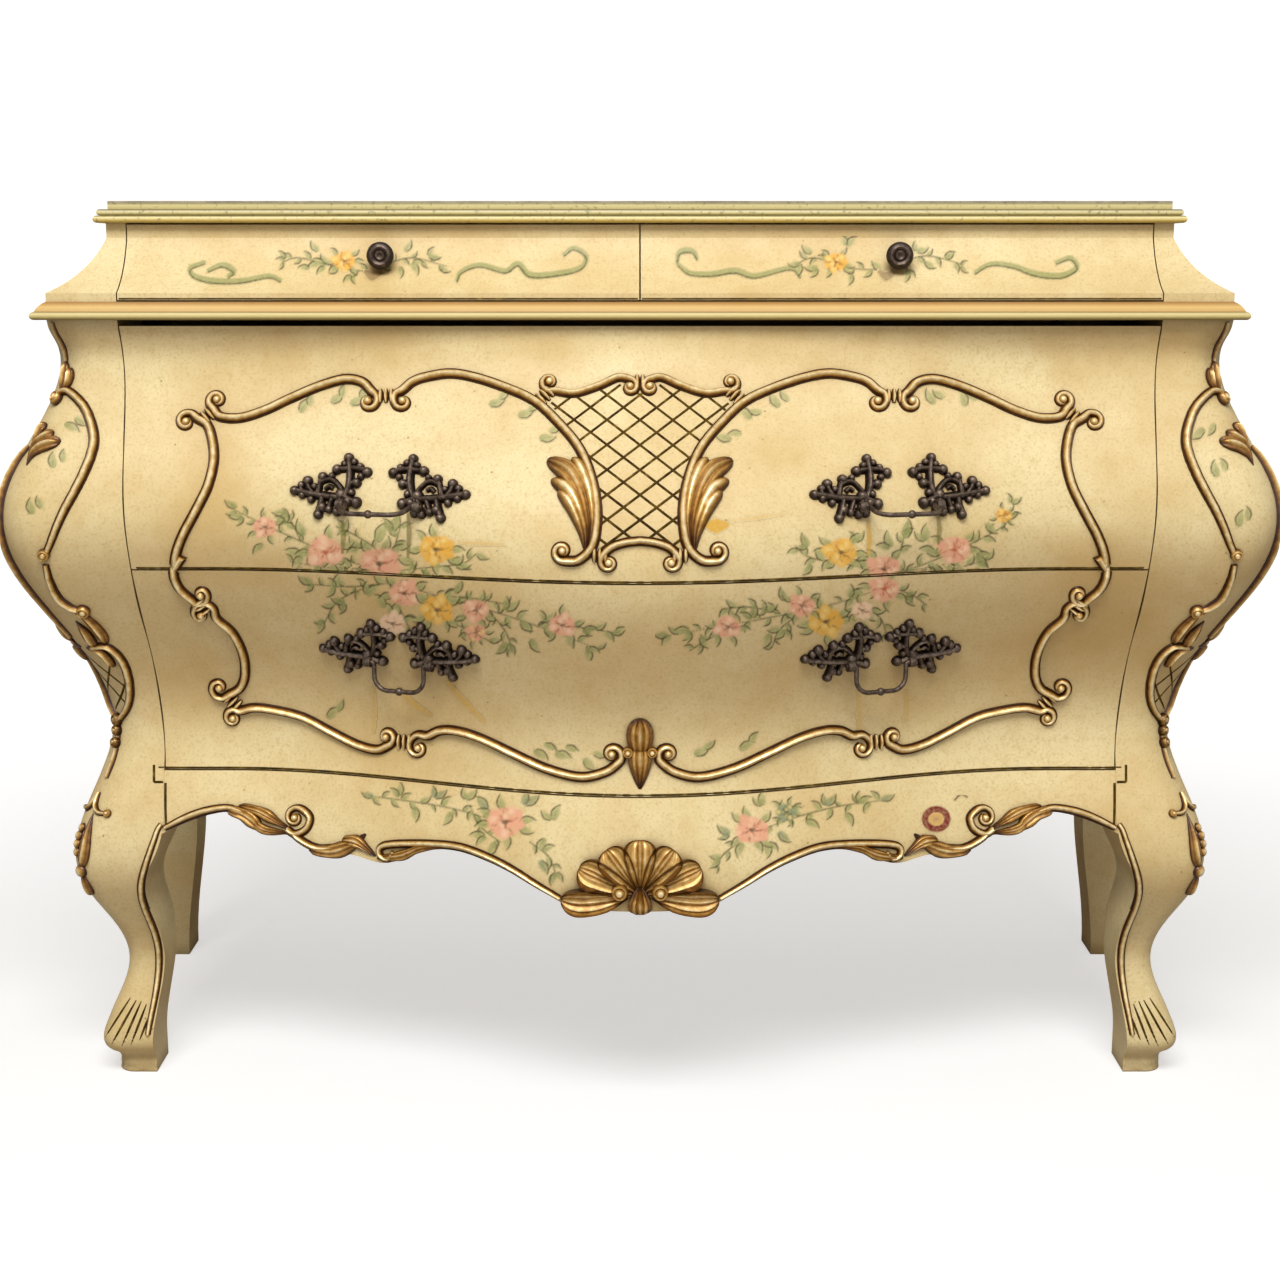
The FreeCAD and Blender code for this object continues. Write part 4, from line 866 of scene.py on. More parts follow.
# Husk on the knee: balls down the corner, a leaf beside them and a boss at its foot
KNEE_BALLS = [(-0.005, 0.268, 5), (-0.006, 0.26, 5.4), (-0.006, 0.252, 5.4), (-0.005, 0.244, 5),
              (0.002, 0.226, 7)]
KNEE_LEAVES = [([(0.004, 0.283), (0.007, 0.265), (0.008, 0.246), (0.004, 0.23)], 6.5),
               ([(0.001, 0.224), (0.002, 0.212), (0.001, 0.198)], 6)]
KNEE_SCROLL = [(0, 0.302), (0.003, 0.291), (0.011, 0.285), (0.022, 0.285)]
CORNER_LINES = [[(0, 0.773), (0, 0.755), (0, 0.736)], [(0, 0.37), (0, 0.35), (0, 0.33), (0, 0.316)]]
TURNED_BELOW = 0.5
TOP_LEAVES = [([(0.0, 0.705), (0.001, 0.718), (0.0, 0.736)], 6),
              ([(0.004, 0.706), (0.009, 0.716), (0.008, 0.73)], 5)]
POST_PIXEL = 0.95 * MM
CORNER_HALF, CORNER_HIGH, TOP_LEAF_HIGH = 4.5 * MM, 3 * MM, 7 * MM
KNEE_HALF, KNEE_HIGH, KNEE_LEAF_HIGH, KNEE_SET = 3.2 * MM, 4.5 * MM, 6 * MM, 0.6
KNEE_EYE_RADIUS, KNEE_EYE_HIGH = 4.2 * MM, 5 * MM


def post_stroke(points, half, height, taper):
    return stroke(post_ground, points, half, height, POST_STEP, POST_OUT, taper)


def post_dome(d, z, radius, height, profile=DOME):
    return dome(post_ground, d, z, radius, height, POST_STEP, POST_OUT, profile)


def post_leaf(points, half, height):
    return leaf(post_ground, points, half, height, POST_STEP, POST_OUT, blunt=True)


def turned(points):
    """The same line on the other face of the post."""
    return [(-d, z) for d, z in points]


def both_faces(points):
    """A line on the front of the post, copied to its side where the post is well inside the width."""
    line = [on_post(u, v) for u, v in points]
    return [line, turned(line)] if all(z < TURNED_BELOW for d, z in line) else [line]


def post_carving():
    parts = [post_stroke(OUTER_BEAD, OUTER_HALF, OUTER_HIGH, 0.4)]
    parts += [post_stroke(points, CORNER_HALF, CORNER_HIGH, 0.2) for points in CORNER_LINES]
    parts += [post_leaf(points, wide * MM, TOP_LEAF_HIGH) for points, wide in TOP_LEAVES]
    for points, half in POST_BEADS:
        parts += [post_stroke(line, half * MM, POST_BEAD_HIGH, 0.35) for line in both_faces(points)]
    for u, v, radius in POST_EYES:
        parts += [post_dome(*line[0], radius * MM, POST_EYE_HIGH) for line in both_faces([(u, v)])]
    for points, wide in POST_LEAVES:
        parts += [post_leaf(line, wide * POST_PIXEL, POST_LEAF_HIGH) for line in both_faces(points)]
    parts += [post_dome(d, z, radius * MM, (radius - KNEE_SET) * MM, BALL) for d, z, radius in KNEE_BALLS]
    parts += [post_leaf(points, wide * MM, KNEE_LEAF_HIGH) for points, wide in KNEE_LEAVES]
    parts += [post_stroke(line, KNEE_HALF, KNEE_HIGH, 0.35) for line in (KNEE_SCROLL, turned(KNEE_SCROLL))]
    parts.append(post_dome(*KNEE_SCROLL[-1], KNEE_EYE_RADIUS, KNEE_EYE_HIGH))
    piece("post_carving_left", parts, GILDING, "carcass")
    piece("post_carving_right", [mirrored(part) for part in parts], GILDING, "carcass")
    net = [post_stroke(points, CUT_HALF, CUT_HIGH, 0.4) for points in POST_NET]
    piece("post_nets", both(net), UMBER_AND_SHADE, "carcass")


# Gilt bead down the inner edge of the front legs, and the flutes of the toes
LEG_BEAD_TOP, LEG_BEAD_FOOT, LEG_BEAD_COUNT = 0.27, 0.046, 26
LEG_BEAD_HALF, LEG_BEAD_HIGH, LEG_BEAD_STEP = 4.2 * MM, 4.6 * MM, 0.3 * MM
LEG_BEAD_START_IN, LEG_BEAD_START_UP = 2 * MM, 5 * MM
EDGE_EVEN, EDGE_IN, EDGE_STEP, EDGE_SLOPE = 7, 3.5 * MM, 1 * MM, 0.7 * MM
TOE_FLUTES = [((122, 998), (93, 1041)), ((128, 1000), (102, 1044)), ((133, 1001), (112, 1046)),
              ((138, 1004), (121, 1045)), ((142, 1012), (130, 1040))]


def inner_edge(z):
    """Where the front of the leg turns to its inner side, at a height: its x."""
    ahead, x = None, leg_high.x
    while x > leg_low.x:
        hit = TREES["leg"].ray_cast(Vector((x, -FAR_OFF, z)), BACK)[0]
        if hit and ahead is not None and ahead - hit.y < EDGE_SLOPE:
            return x
        ahead, x = hit.y if hit else None, x - EDGE_STEP
    return leg_high.x


def legs():
    levels = np.linspace(LEG_BEAD_TOP, LEG_BEAD_FOOT, LEG_BEAD_COUNT)
    edge = np.array([inner_edge(z) - EDGE_IN for z in levels])
    padded = np.pad(edge, EDGE_EVEN // 2, mode="reflect", reflect_type="odd")
    even = np.convolve(padded, np.full(EDGE_EVEN, 1 / EDGE_EVEN), mode="valid")
    line = [(leg_high.x - LEG_BEAD_START_IN, LEG_BEAD_TOP + LEG_BEAD_START_UP)] + list(zip(even, levels))
    bead = stroke(front_ground(TREES["leg"]), line, LEG_BEAD_HALF, LEG_BEAD_HIGH, LEG_BEAD_STEP, taper=0.3,
                  pieces=2)
    piece("leg_beads", both([bead]), GILDING, "carcass")
    flutes = []
    for (u0, v0), (u1, v1) in TOE_FLUTES:
        points = [(u0, v0), ((u0 + u1) / 2, (v0 + v1) / 2), (u1, v1)]
        flutes.append(stroke(ON_PHOTO["leg"], points, CUT_HALF, CUT_HIGH, PHOTO_STEP, taper=0.6, pieces=5))
    piece("toe_flutes", both(flutes), UMBER_AND_SHADE, "carcass")


# Lattice between the two inner scrolls of the upper drawer: right half of its field, then the whole outline
LATTICE_HALF = [(640, 381), (680, 387), (718, 394), (730, 402), (719, 425), (700, 450), (688, 480),
                (683, 510), (684, 550), (669, 550), (655, 544), (640, 541)]
LATTICE_FIELD = LATTICE_HALF + [(PHOTO_SIZE - u, v) for u, v in LATTICE_HALF[-2:0:-1]]
LATTICE_WIDE, LATTICE_HIGH, LATTICE_MIDDLE = 33, 25, (640, 470)
LATTICE_LINES, LATTICE_SAMPLES, LATTICE_REACH = 6, 80, 120
LATTICE_SHORTEST, LATTICE_EVERY = 3, 6


def inside(field, u, v):
    hits = False
    for (u0, v0), (u1, v1) in zip(field, field[1:] + field[:1]):
        if (v0 > v) != (v1 > v) and u < u0 + (v - v0) * (u1 - u0) / (v1 - v0):
            hits = not hits
    return hits


def lattice():
    slope = LATTICE_HIGH / LATTICE_WIDE
    shifts = [LATTICE_REACH * sample / LATTICE_SAMPLES for sample in range(-LATTICE_SAMPLES,
                                                                           LATTICE_SAMPLES + 1)]
    parts = []
    for lean in (-1, 1):
        for index in range(-LATTICE_LINES, LATTICE_LINES + 1):
            spots = [(LATTICE_MIDDLE[0] + shift,
                      LATTICE_MIDDLE[1] + lean * slope * shift + index * LATTICE_HIGH)
                     for shift in shifts]
            run = [spot for spot in spots if inside(LATTICE_FIELD, *spot)]
            if len(run) > LATTICE_SHORTEST:
                parts.append(stroke(ON_PHOTO["upper"], run[::LATTICE_EVERY] + run[-1:], CUT_HALF, CUT_HIGH,
                                    PHOTO_STEP, taper=0, pieces=2))
    piece("lattice_lines", parts, UMBER_AND_SHADE, "upper_drawer")


# Painted shade along the lower edges of the drawers, a dark line that widens the gap under each front, and the
# half width of each line
EDGE_UP, EDGE_POINTS, EDGE_SHADE_STEP, EDGE_SHADE_HIGH = 1.2 * MM, 40, 1 * MM, CUT_HIGH / 2
EDGE_SHADE_HALF = {"upper": 1.1 * MM, "lower": 1.1 * MM, "frieze_left": 0.8 * MM, "frieze_right": 0.8 * MM}


def edge_shade_lines():
    for carrier, half in EDGE_SHADE_HALF.items():
        low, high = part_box(CARRIERS[carrier])
        points = [(x, low.z + EDGE_UP) for x in np.linspace(low.x + EDGE_UP, high.x - EDGE_UP, EDGE_POINTS)]
        line = stroke(front_ground(TREES[carrier]), points, half, EDGE_SHADE_HIGH, EDGE_SHADE_STEP, taper=0, pieces=2)
        piece(f"{BODIES[carrier]}_edge_shade_line", [line], UMBER_AND_SHADE, BODIES[carrier])


# Handles: open cast plates on the posts of each bail, in millimetres outwards and up from the post
PLATE_BARS = [([(-1, 5), (14, 6), (30, 8), (46, 11)], 4.4), ([(-2, 3), (-7, 14), (-8, 26), (-6, 41)], 4.2),
              ([(5, 30), (-6, 31), (-16, 31), (-24, 29)], 3.6),
              ([(24, 8), (20, 18), (10, 21), (2, 15), (-3, 8)], 3.0), ([(34, 19), (31, 13), (27, 8)], 3.4),
              ([(19, 23), (21, 16), (22, 9)], 3.2), ([(23, -11), (20, -3), (18, 6)], 4.0),
              ([(4, -8), (2, 0), (-1, 6)], 3.8), ([(-14, 1), (-7, 4), (-1, 7)], 4.4),
              ([(-15, 19), (-10, 18), (-6, 15)], 3.6), ([(40, 15), (38, 11), (36, 9)], 3.0),
              ([(12, -6), (10, 0), (8, 6)], 3.4), ([(8, 13), (12, 15), (16, 12)], 2.6)]
PLATE_LOBES = [(47, 11, 4.2), (40, 16, 3.6), (34, 20, 4.6), (27, 15, 3.2), (19, 24, 4.4), (10, 25, 3.2),
               (5, 31, 4.6), (-2, 36, 3.4), (-6, 42, 4.4), (-12, 38, 3.4), (-18, 34, 3.4), (-25, 29, 4.6),
               (-19, 25, 3.4), (-15, 19, 4.4), (-10, 10, 3.6), (-15, 1, 5), (-7, 2, 4.4), (-3, -7, 4.2),
               (4, -8, 4.2), (12, -6, 3.8), (19, -4, 4.6), (23, -11, 4.4), (30, 3, 3.6), (39, 7, 3.4),
               (0, 8, 5.4)]
SPANS = {"upper": 76 * MM, "lower": 66 * MM}
ARM_CLEAR, PLATE_STEP = 10, 1.5
BAR_WIDEN, BAR_RISE, LOBE_DRAW, LOBE_WIDEN, LOBE_RISE = 1.05, 2, 0.97, 1.14, 2.2
JOINTS = {joint["name"]: joint for joint in frame["joints"]}


def meets_arm(drawer, a, b):
    """Whether a place on a plate lies where the hanging bail's arm swings in."""
    return drawer == "lower" and abs(a) < ARM_CLEAR and b < 0


def plates(drawer, side):
    joint = JOINTS[f"{drawer}_{side}_bail_swing"]
    middle, axis = Vector(joint["pos_m"]), Vector(joint["axis"]).normalized()
    ground = front_ground(TREES[drawer])
    parts = []
    for end in (-1, 1):
        post = middle - axis * (end * SPANS[drawer] / 2)

        def place(a, b, post=post, end=end):
            return ground(post.x + end * a * MM, post.z + b * MM)

        for points, wide in PLATE_BARS:
            if not any(meets_arm(drawer, a, b) for a, b in points):
                parts.append(stroke(place, points, wide * BAR_WIDEN * MM, (wide + BAR_RISE) * MM, PLATE_STEP,
                                    taper=0.1, pieces=5))
        for a, b, radius in PLATE_LOBES:
            if not meets_arm(drawer, a, b):
                parts.append(dome(place, a * LOBE_DRAW, b * LOBE_DRAW, radius * LOBE_WIDEN * MM,
                                  (radius + LOBE_RISE) * MM, PLATE_STEP, profile=BALL))
    piece(f"{drawer}_{side}_plates", parts, BRONZE, f"{drawer}_drawer",
          (f"{drawer}_{side}_pull_plates",))


# Knobs: turned with rings and a dimple, in millimetres of radius and depth; neck, shank and nut behind
KNOB_PROFILE = [(2.0, 0.2), (3.6, -1.2), (5.4, 0.9), (6.6, 0.2), (8.4, -0.8), (10.2, 0.4), (11.6, 1.0),
                (13.0, 4.0), (13.0, 6.4), (11.2, 9.6), (8.6, 10.6), (8.0, 12.0), (6.2, 13.2), (5.2, 15.5),
                (5.2, 22.0)]
SHANK_RADIUS, NUT_RADIUS, NUT_THICK = 2.5, 5, 3
KNOB_SIDES, RUBBED_DEPTH = 40, 4 * MM


def knob(side):
    node = f"frieze_drawer_{side}_knob"
    low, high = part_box(node)
    middle = (low + high) / 2
    nearest, back = min(y for r, y in KNOB_PROFILE), (high.y - low.y) / MM
    profile = [(r, y - nearest) for r, y in KNOB_PROFILE]
    profile += [(SHANK_RADIUS, profile[-1][1]), (SHANK_RADIUS, back - NUT_THICK),
                (NUT_RADIUS, back - NUT_THICK), (NUT_RADIUS, back)]
    radius, depth = profile[0]
    bpy.ops.object.select_all(action="DESELECT")
    bpy.ops.mesh.primitive_circle_add(vertices=KNOB_SIDES, radius=radius * MM, fill_type="NGON",
                                      location=(middle.x, low.y + depth * MM, middle.z),
                                      rotation=(math.pi / 2, 0, 0))
    made = bpy.context.active_object
    made.name = f"{node}_turned"
    bpy.ops.object.transform_apply(location=True, rotation=True, scale=True)
    bpy.ops.object.mode_set(mode="EDIT")
    bpy.ops.mesh.select_all(action="SELECT")
    for next_radius, next_depth in profile[1:]:
        bpy.ops.mesh.extrude_region_move(TRANSFORM_OT_translate={"value": (0, (next_depth - depth) * MM, 0)})
        grow = next_radius / radius
        bpy.ops.transform.resize(value=(grow, 1, grow),
                                 center_override=(middle.x, low.y + next_depth * MM, middle.z))
        radius, depth = next_radius, next_depth
    bpy.ops.object.mode_set(mode="OBJECT")
    rubbed = [unit(1 - (v.co.y - low.y) / RUBBED_DEPTH) for v in made.data.vertices]
    made.data.attributes.new("crest", "FLOAT", "POINT").data.foreach_set("value", rubbed)
    finish_piece(made, BRONZE, f"frieze_drawer_{side}", (node,))


# Flower painting: each spray is painted on a sheet of fine squares, as a brush would, then laid on the front
SHEET_STEP = 1.0
PINK, ROSE, BLUSH = "#E4A484", "#B4492E", "#F0CCA8"
YELLOW, AMBER, PALE = "#E3A93A", "#A05A14", "#F0CF7A"
SAGE, MOSS, MIST, TEAL, OLIVE = "#878C50", "#3E3C12", "#B0AE70", "#7F8C6A", "#6E6424"
BROWN, RUST, WINE, VERDIGRIS = "#58300F", "#CE9A0A", "#74100C", "#96985E"


def sheet(u0, v0, u1, v1):
    u, v = np.meshgrid(np.arange(u0, u1, SHEET_STEP), np.arange(v0, v1, SHEET_STEP))
    return {"u": u, "v": v, "hue": np.zeros(u.shape + (3,)), "cover": np.zeros(u.shape)}


def lay(page, mask, colour):
    """Brush a colour over the page where the mask says."""
    old = page["cover"]
    total = mask + old * (1 - mask)
    share = np.where(total > 1e-6, mask / np.maximum(total, 1e-6), 0)[..., None]
    page["hue"] = page["hue"] * (1 - share) + np.asarray(colour) * share
    page["cover"] = total


PETAL_BLUNT, PETAL_SWELL, BRUSH_EDGE = 0.6, 0.7, 3.2
TRAIL_PIECES, TRAIL_SOFT = 24, 0.7


def along_and_across(page, u, v, angle):
    """How far the page's points lie from a place, along a direction and across it."""
    turn = math.radians(angle)
    du, dv = page["u"] - u, page["v"] - v
    return du * math.cos(turn) - dv * math.sin(turn), du * math.sin(turn) + dv * math.cos(turn)


def shaded(start, end, share):
    """The colour between two hex codes at each share."""
    share = share[..., None]
    return np.asarray(linear(start)[:3]) * (1 - share) + np.asarray(linear(end)[:3]) * share


def around(u, v, angle, right, up):
    """A place on an upright oval round another, at an angle in degrees."""
    turn = math.radians(angle)
    return u + right * math.cos(turn), v - up * math.sin(turn)


def petal(page, u, v, angle, long, wide, root, tip, strength):
    """One brush mark from its root outwards, shaded from root to tip."""
    along, across = along_and_across(page, u, v, angle)
    s, t = along / long, across / wide
    body = np.sin(np.pi * np.clip(s, 0, 1) ** PETAL_BLUNT) ** PETAL_SWELL
    mask = np.clip((body - np.abs(t) * 2) * min(wide, long) / BRUSH_EDGE, 0, 1) * ((s > 0) & (s < 1))
    lay(page, mask * strength, np.clip(shaded(root, tip, s), 0, 1))


def trail(page, points, wide, colour, strength, taper):
    """A stem or a scroll drawn with a thin brush."""
    line = smooth(points, TRAIL_PIECES)
    nearest = np.full(page["u"].shape, np.inf)
    girth = np.zeros(page["u"].shape)
    for i, (u, v) in enumerate(line):
        far = np.hypot(page["u"] - u, page["v"] - v)
        closer = far < nearest
        nearest = np.where(closer, far, nearest)
        girth = np.where(closer, wide * (1 - taper * abs(2 * i / (len(line) - 1) - 1)), girth)
    lay(page, np.clip(girth / 2 - nearest + TRAIL_SOFT, 0, 1) * strength, linear(colour)[:3])


def dab(page, u, v, wide, high, angle, middle, edge, strength):
    """A round soft brush mark, shaded from its middle to its edge."""
    along, across = along_and_across(page, u, v, angle)
    far = np.hypot(along / wide, across / high)
    mask = np.clip((1 - far) * min(wide, high) / 2, 0, 1)
    lay(page, mask * strength, shaded(middle, edge, np.clip(far, 0, 1)))


# A rose, in shares of its radius: leaves behind it, two rings of petals (count more, reach, size),
# folds and rims between them, and its heart; line widths are in photo points and angles in degrees
ROSE_LEAF_OUT, ROSE_LEAF_UP, ROSE_LEAF_LONG, ROSE_LEAF_STRAY = 0.75, 0.6, 0.85, 20
ROSE_FLAT, PETAL_FLAT, ROSE_RINGS, RING_UP = 0.82, 0.72, ((1, 0.66, 0.44), (-1, 0.3, 0.34)), 0.8
PETAL_STRAY, REACH_STRAY, SIZE_STRAY = 16, 0.1, 0.09
FOLD_OUT, FOLD_UP, FOLD_LONG, FOLD_WIDE, FOLD_LEAN = 0.5, 0.4, 1.1, 3.0, 14
RIM_OUT, RIM_UP, RIM_LONG, RIM_WIDE, RIM_LEAN = 0.4, 0.3, 0.9, 2.2, 76
HEART_STROKES, HEART_TURN, HEART_LONG, HEART_LINE, HEART_WIDE, HEART_HIGH = 3, 130, 0.5, 2.6, 0.24, 0.17


def bloom(page, u, v, radius, root, tip, heart, petals, turn=0):
    """A full-blown rose: leaves behind, two rings of flat petals, dark strokes in the folds, a dark heart."""
    pale = BLUSH if root == ROSE else PALE
    for i in range(petals):
        lean = turn + 360 * i / petals + ROSE_LEAF_STRAY * math.sin(2 * i + v)
        behind = around(u, v, lean, ROSE_LEAF_OUT * radius, ROSE_LEAF_UP * radius)
        sprig(page, *behind, lean, radius * ROSE_LEAF_LONG, 1)
    dab(page, u, v, radius, radius * ROSE_FLAT, 0, tip, tip, 0.8)
    for more, reach, grow in ROSE_RINGS:
        count = petals + more
        for i in range(count):
            angle = turn + 360 * i / count + PETAL_STRAY * math.sin(3.1 * i + u)
            out = radius * (reach + REACH_STRAY * math.sin(5 * i + u))
            size = radius * (grow + SIZE_STRAY * math.cos(3 * i + v))
            side = around(u, v, angle, out, RING_UP * out)
            dab(page, *side, size, size * PETAL_FLAT, angle, pale if i % 2 else tip, tip, 0.9)
            between = angle + 180 / count
            fold = around(u, v, between, FOLD_OUT * out, FOLD_UP * out)
            petal(page, *fold, between + FOLD_LEAN, size * FOLD_LONG, FOLD_WIDE, heart, root, 0.9)
            rim = around(*side, angle + 90, size * RIM_OUT, size * RIM_UP)
            petal(page, *rim, angle + RIM_LEAN, size * RIM_LONG, RIM_WIDE, root, root, 0.85)
    for i in range(HEART_STROKES):
        petal(page, u, v, turn + HEART_TURN * i, radius * HEART_LONG, HEART_LINE, heart, root, 0.85)
    dab(page, u, v, radius * HEART_WIDE, radius * HEART_HIGH, 0, heart, heart, 0.95)


# Painted leaves: spread and stray in degrees; width, bowed edge and midrib in shares of the length; line
SPRIG_SPREAD, SPRIG_STRAY, SPRIG_SHRINK, SPRIG_WIDE = 64, 9, 0.18, 0.56
SPRIG_BOW, SPRIG_EDGE, SPRIG_RIB, SPRIG_LINE = 0.27, ((0.12, 0.5), (0.45, 1), (0.8, 0.62),
                                                      (1.02, 0)), 0.85, 1.5


def sprig(page, u, v, angle, long, count, shades=(SAGE, MIST)):
    """Oval leaves from one point, each with a broken dark edge and a midrib."""
    for i in range(count):
        lean = angle + (i - (count - 1) / 2) * SPRIG_SPREAD + SPRIG_STRAY * math.sin(u + 2 * i)
        reach = long * (1 - SPRIG_SHRINK * i)
        petal(page, u, v, lean, reach, reach * SPRIG_WIDE, *shades, 0.82)
        turn = math.radians(lean)
        along, side = (math.cos(turn), -math.sin(turn)), (math.sin(turn), math.cos(turn))
        bow = reach * SPRIG_BOW * (1 if math.sin(3 * u + i) > 0 else -1)
        edge = [(u + along[0] * reach * s + side[0] * bow * w, v + along[1] * reach * s + side[1] * bow * w)
                for s, w in SPRIG_EDGE]
        trail(page, edge, SPRIG_LINE, MOSS, 0.95, 0.5)
        petal(page, u, v, lean, reach * SPRIG_RIB, SPRIG_LINE, MOSS, MOSS, 0.75)


TWIG_STEP, TWIG_LEAN, TWIG_LINE, TWIG_LEAF, TWIG_LEAST, TWIG_VARY = 9, 48, 1.6, 12, 0.7, 0.4


def twig(page, points):
    """A stem with small leaves along it, on one side and the other."""
    trail(page, points, TWIG_LINE, MOSS, 0.85, 0.4)
    line = smooth(points, TRAIL_PIECES)
    walked, side = TWIG_STEP / 2, 1
    for (u0, v0), (u1, v1) in zip(line, line[1:]):
        walked += math.hypot(u1 - u0, v1 - v0)
        if walked > TWIG_STEP:
            walked, side = 0, -side
            lean = math.degrees(math.atan2(v0 - v1, u1 - u0)) + side * TWIG_LEAN
            long = TWIG_LEAF * (TWIG_LEAST + TWIG_VARY * math.sin(u1) ** 2)
            sprig(page, u1, v1, lean, long, 1, (SAGE, MIST) if side > 0 else (MIST, SAGE))


SKIN_LIFT, FAINTEST = 0.15 * MM, 0.015


def painted(name, page, carrier, lift=SKIN_LIFT):
    """Lay the painted part of a sheet on its carrier as a thin closed skin."""
    kept = page["cover"] > FAINTEST
    rows, columns = np.nonzero(kept[:-1, :-1] | kept[1:, :-1] | kept[:-1, 1:] | kept[1:, 1:])
    cells = set(zip(rows.tolist(), columns.tolist()))
    index, verts, hues, covers, faces = {}, [], [], [], []
    place = ON_PHOTO[carrier]

    def corner(row, column, side):
        key = (row, column, side)
        if key not in index:
            spot = place(page["u"][row, column], page["v"][row, column])
            index[key] = len(verts)
            verts.append(spot + OUT * (lift if side else -lift))
            hues.append(tuple(page["hue"][row, column]) + (1.0,))
            covers.append(page["cover"][row, column])
        return index[key]

    for row, column in sorted(cells):
        square = [(row, column), (row, column + 1), (row + 1, column + 1), (row + 1, column)]
        faces.append(tuple(corner(r, c, 1) for r, c in reversed(square)))
        faces.append(tuple(corner(r, c, 0) for r, c in square))
        beside = [(row - 1, column), (row, column + 1), (row + 1, column), (row, column - 1)]
        for i, other in enumerate(beside):
            if other not in cells:
                a, b = square[i], square[(i + 1) % 4]
                faces.append((corner(*a, 1), corner(*b, 1), corner(*b, 0), corner(*a, 0)))
    made = new_object(name, verts, faces)
    hue = made.data.attributes.new("hue", "FLOAT_COLOR", "POINT")
    hue.data.foreach_set("color", np.array(hues, np.float32).ravel())
    cover = made.data.attributes.new("cover", "FLOAT", "POINT")
    cover.data.foreach_set("value", np.array(covers, np.float32))
    choose(made)
    set_on(made, BRUSH_PAINT, PAINTED_CREASE, BODIES.get(carrier, "carcass"))


